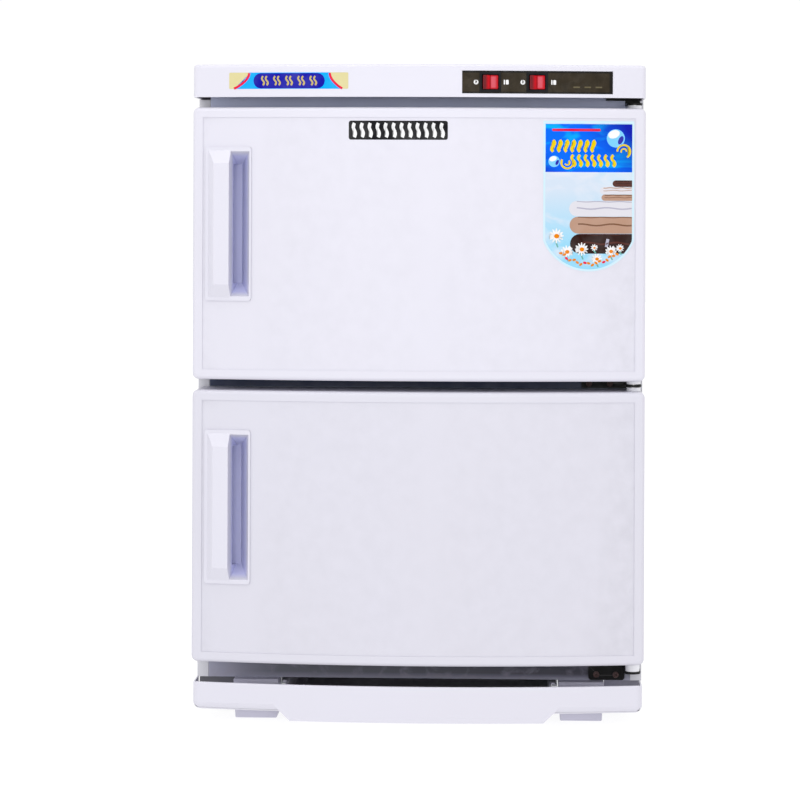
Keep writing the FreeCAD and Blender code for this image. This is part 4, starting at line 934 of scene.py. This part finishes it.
def card_blossom(art):
    """Flowers, given by their middle, size and number of petals, and loose petals along the bottom."""
    flowers = (
        ((136.5, 489), 7.6, 12), ((147, 473.5), 6.4, 11), ((161.5, 476), 6.8, 12), ((174, 477.5), 3.6, 9),
        ((176.5, 466.5), 5.4, 10), ((190.5, 474), 5.8, 11), ((199.5, 477), 4.2, 10),
    )
    for (x, z), size, petals in flowers:
        stalk = [(x - 1, z - size * 0.6), (x + 1.5, z - size * 1.5)]
        art.ink(ribbon(stalk, 1.4), "green", 2)
        art.ink(blossom((x, z), size, petals), "white", 3)
        art.ink(ellipse((x + 0.3, z - 0.3), size * 0.34, size * 0.30, 0, 18), "orange", 4)
    count, span = 17, BOTTOM_REACH * 0.62
    for index in range(count):
        angle = math.radians(-90 - span + 2 * span * index / (count - 1))
        radius = BOTTOM_RADIUS - 7.5 - 1.3 * math.sin(index * 1.9)
        spot = (CARD_MIDDLE + radius * math.cos(angle), BOTTOM_CENTRE_Z + radius * math.sin(angle))
        colour = "red" if index % 5 == 2 else "orange"
        art.ink(ellipse(spot, 1.9, 1.2, 40 * math.sin(index * 2.3), 12), colour, 4)


def poster():
    """Picture card: steam on a blue head, and folded towels and blossom under a pale sky."""
    body, slot = "upper_door", "white_plastic"
    bowed_plate("poster_card", card_outline(0), FIELD_INSET, CARD_THICK, INKS["border"], body)
    art = Artwork("poster", FIELD_INSET - CARD_THICK, body, slot)
    art.ink(card_outline(CARD_MARGIN), "sky", 0)
    card_head(art)
    card_towels(art)
    card_blossom(art)


def badge():
    """Plain black plate with a row of even steam waves."""
    left, right, low, high = -68.7, 29.2, 583.2, 602.0
    count = 12
    art = Artwork("badge", FIELD_INSET, "upper_door", "white_plastic")
    art.ink(block(left, right, low, high, 2.2), "black", 0)
    pitch = (right - left) / (count + 0.4)
    for index in range(count):
        x = left + pitch * (index + 0.7)
        art.ink(steam(x, low + 2.4, high - low - 4.8, 1.1, 3.1), "white", 1)


def cover_strip():
    """Coloured strip at the left of the cover, with even waves of steam on a dark capsule."""
    left, right, low, high = -188.5, -69.3, 633.4, 649.6
    tall = high - low
    art = Artwork("strip", 0.0, "cabinet", "white_plastic")
    art.ink(block(left, right, low, high, 1.2), "beige", 0)

    def bend(top, bottom):
        return [(top + (bottom - top) * (step / 12) ** 2, high - tall * step / 12) for step in range(13)]

    left_bend = bend(left + 20.3, left + 4.9)
    right_bend = bend(right - 18.5, right - 5.9)
    art.ink(left_bend + right_bend[::-1], "blue", 1)
    for curve in (left_bend, right_bend):
        art.ink(ribbon([(x, min(max(z, low + 0.5), high - 0.5)) for x, z in curve], 2.3), "red", 2)
    art.ink(block(left + 24.5, left + 95.9, low + 0.4, high - 0.6, 7.5), "navy", 2)
    for index in range(5):
        x = left + 36 + index * 12.1
        for shift in (-1.9, 1.9):
            art.ink(steam(x + shift, low + 3.6, tall - 7.2, 1.2, 1.7), "gold", 3)


def panel_icons():
    """Plain marks on the control strip: a ring and a pair of bars beside each rocker, and three dashes."""
    art = Artwork("icons", 0.0002, "cabinet", "panel_gloss")
    z = 640.3
    for ring_x, bar_x in ((56.8, 86.5), (102.9, 133.3)):
        art.ink(ribbon(arc_points((ring_x, z), 1.8, 100, 440, 26), 1.1), "white", 0)
        art.ink(block(bar_x - 2.4, bar_x - 1.2, z - 2.3, z + 2.3, 0.3), "white", 0)
        art.ink(block(bar_x - 0.4, bar_x + 2.4, z - 2.3, z + 2.3, 0.8), "white", 0)
    for index in range(3):
        x = 156 + index * 11
        art.ink(block(x - 3.2, x + 3.2, z - 5.2, z - 3.9), "olive", 0)


poster()
badge()
cover_strip()
panel_icons()


# ---------------------------------------------------------------- stage, light and camera

def area_light(name, place, target, size, power):
    """A rectangular lamp that points at a target."""
    data = bpy.data.lights.new(name, "AREA")
    data.shape = "RECTANGLE"
    data.size, data.size_y = size
    data.energy = power
    lamp = bpy.data.objects.new(name, data)
    SCENE.collection.objects.link(lamp)
    lamp.location = place
    lamp.rotation_euler = (Vector(target) - Vector(place)).to_track_quat("-Z", "Y").to_euler()


def studio():
    """White paper floor, an even white surround and four soft lamps."""
    floor_mesh = bmesh.new()
    bmesh.ops.create_grid(floor_mesh, x_segments=1, y_segments=1, size=12)
    data = bpy.data.meshes.new("floor")
    floor_mesh.to_mesh(data)
    floor_mesh.free()
    floor = bpy.data.objects.new("floor", data)
    SCENE.collection.objects.link(floor)
    paper = Finish("studio_floor", (0.2, 0.2, 0.2), 0.9)
    paper.mottled((0.19, 0.19, 0.19), 3, 0.4)
    paper.set(Emission_Color=(1, 1, 1, 1), Emission_Strength=0.86)
    data.materials.append(paper.material)

    world = bpy.data.worlds.new("studio")
    SCENE.world = world
    world.use_nodes = True
    sky = world.node_tree.nodes["Background"]
    sky.inputs["Color"].default_value = (1, 1, 1, 1)
    sky.inputs["Strength"].default_value = 1.02

    for name, place, target, size, power in (
        ("key", (-1.3, -2.4, 2.3), (0, 0, 0.35), (1.8, 1.8), 5),
        ("top", (0, -0.6, 2.2), (0, 0, 0.6), (1.6, 1.0), 7),
        ("upper", (-0.35, -1.3, 1.5), (0, -0.19, 0.62), (0.7, 0.4), 2.2),
        ("front", (0.1, -3.4, 0.62), (0, 0, 0.62), (2.2, 0.4), 14),
    ):
        area_light(name, place, target, size, power)


def camera():
    """Front view from just right of the middle, at the height of the upper door."""
    data = bpy.data.cameras.new("camera")
    data.sensor_width = 36
    data.lens = 117.9
    data.shift_x = -0.0305
    data.shift_y = -0.2375
    data.clip_end = 60
    viewer = bpy.data.objects.new("camera", data)
    SCENE.collection.objects.link(viewer)
    viewer.location = (0.092, -2.77, 0.514)
    viewer.rotation_euler = (math.radians(90), math.radians(-0.22), math.radians(1.9))
    SCENE.camera = viewer


studio()
camera()
SCENE.view_settings.view_transform = "Standard"
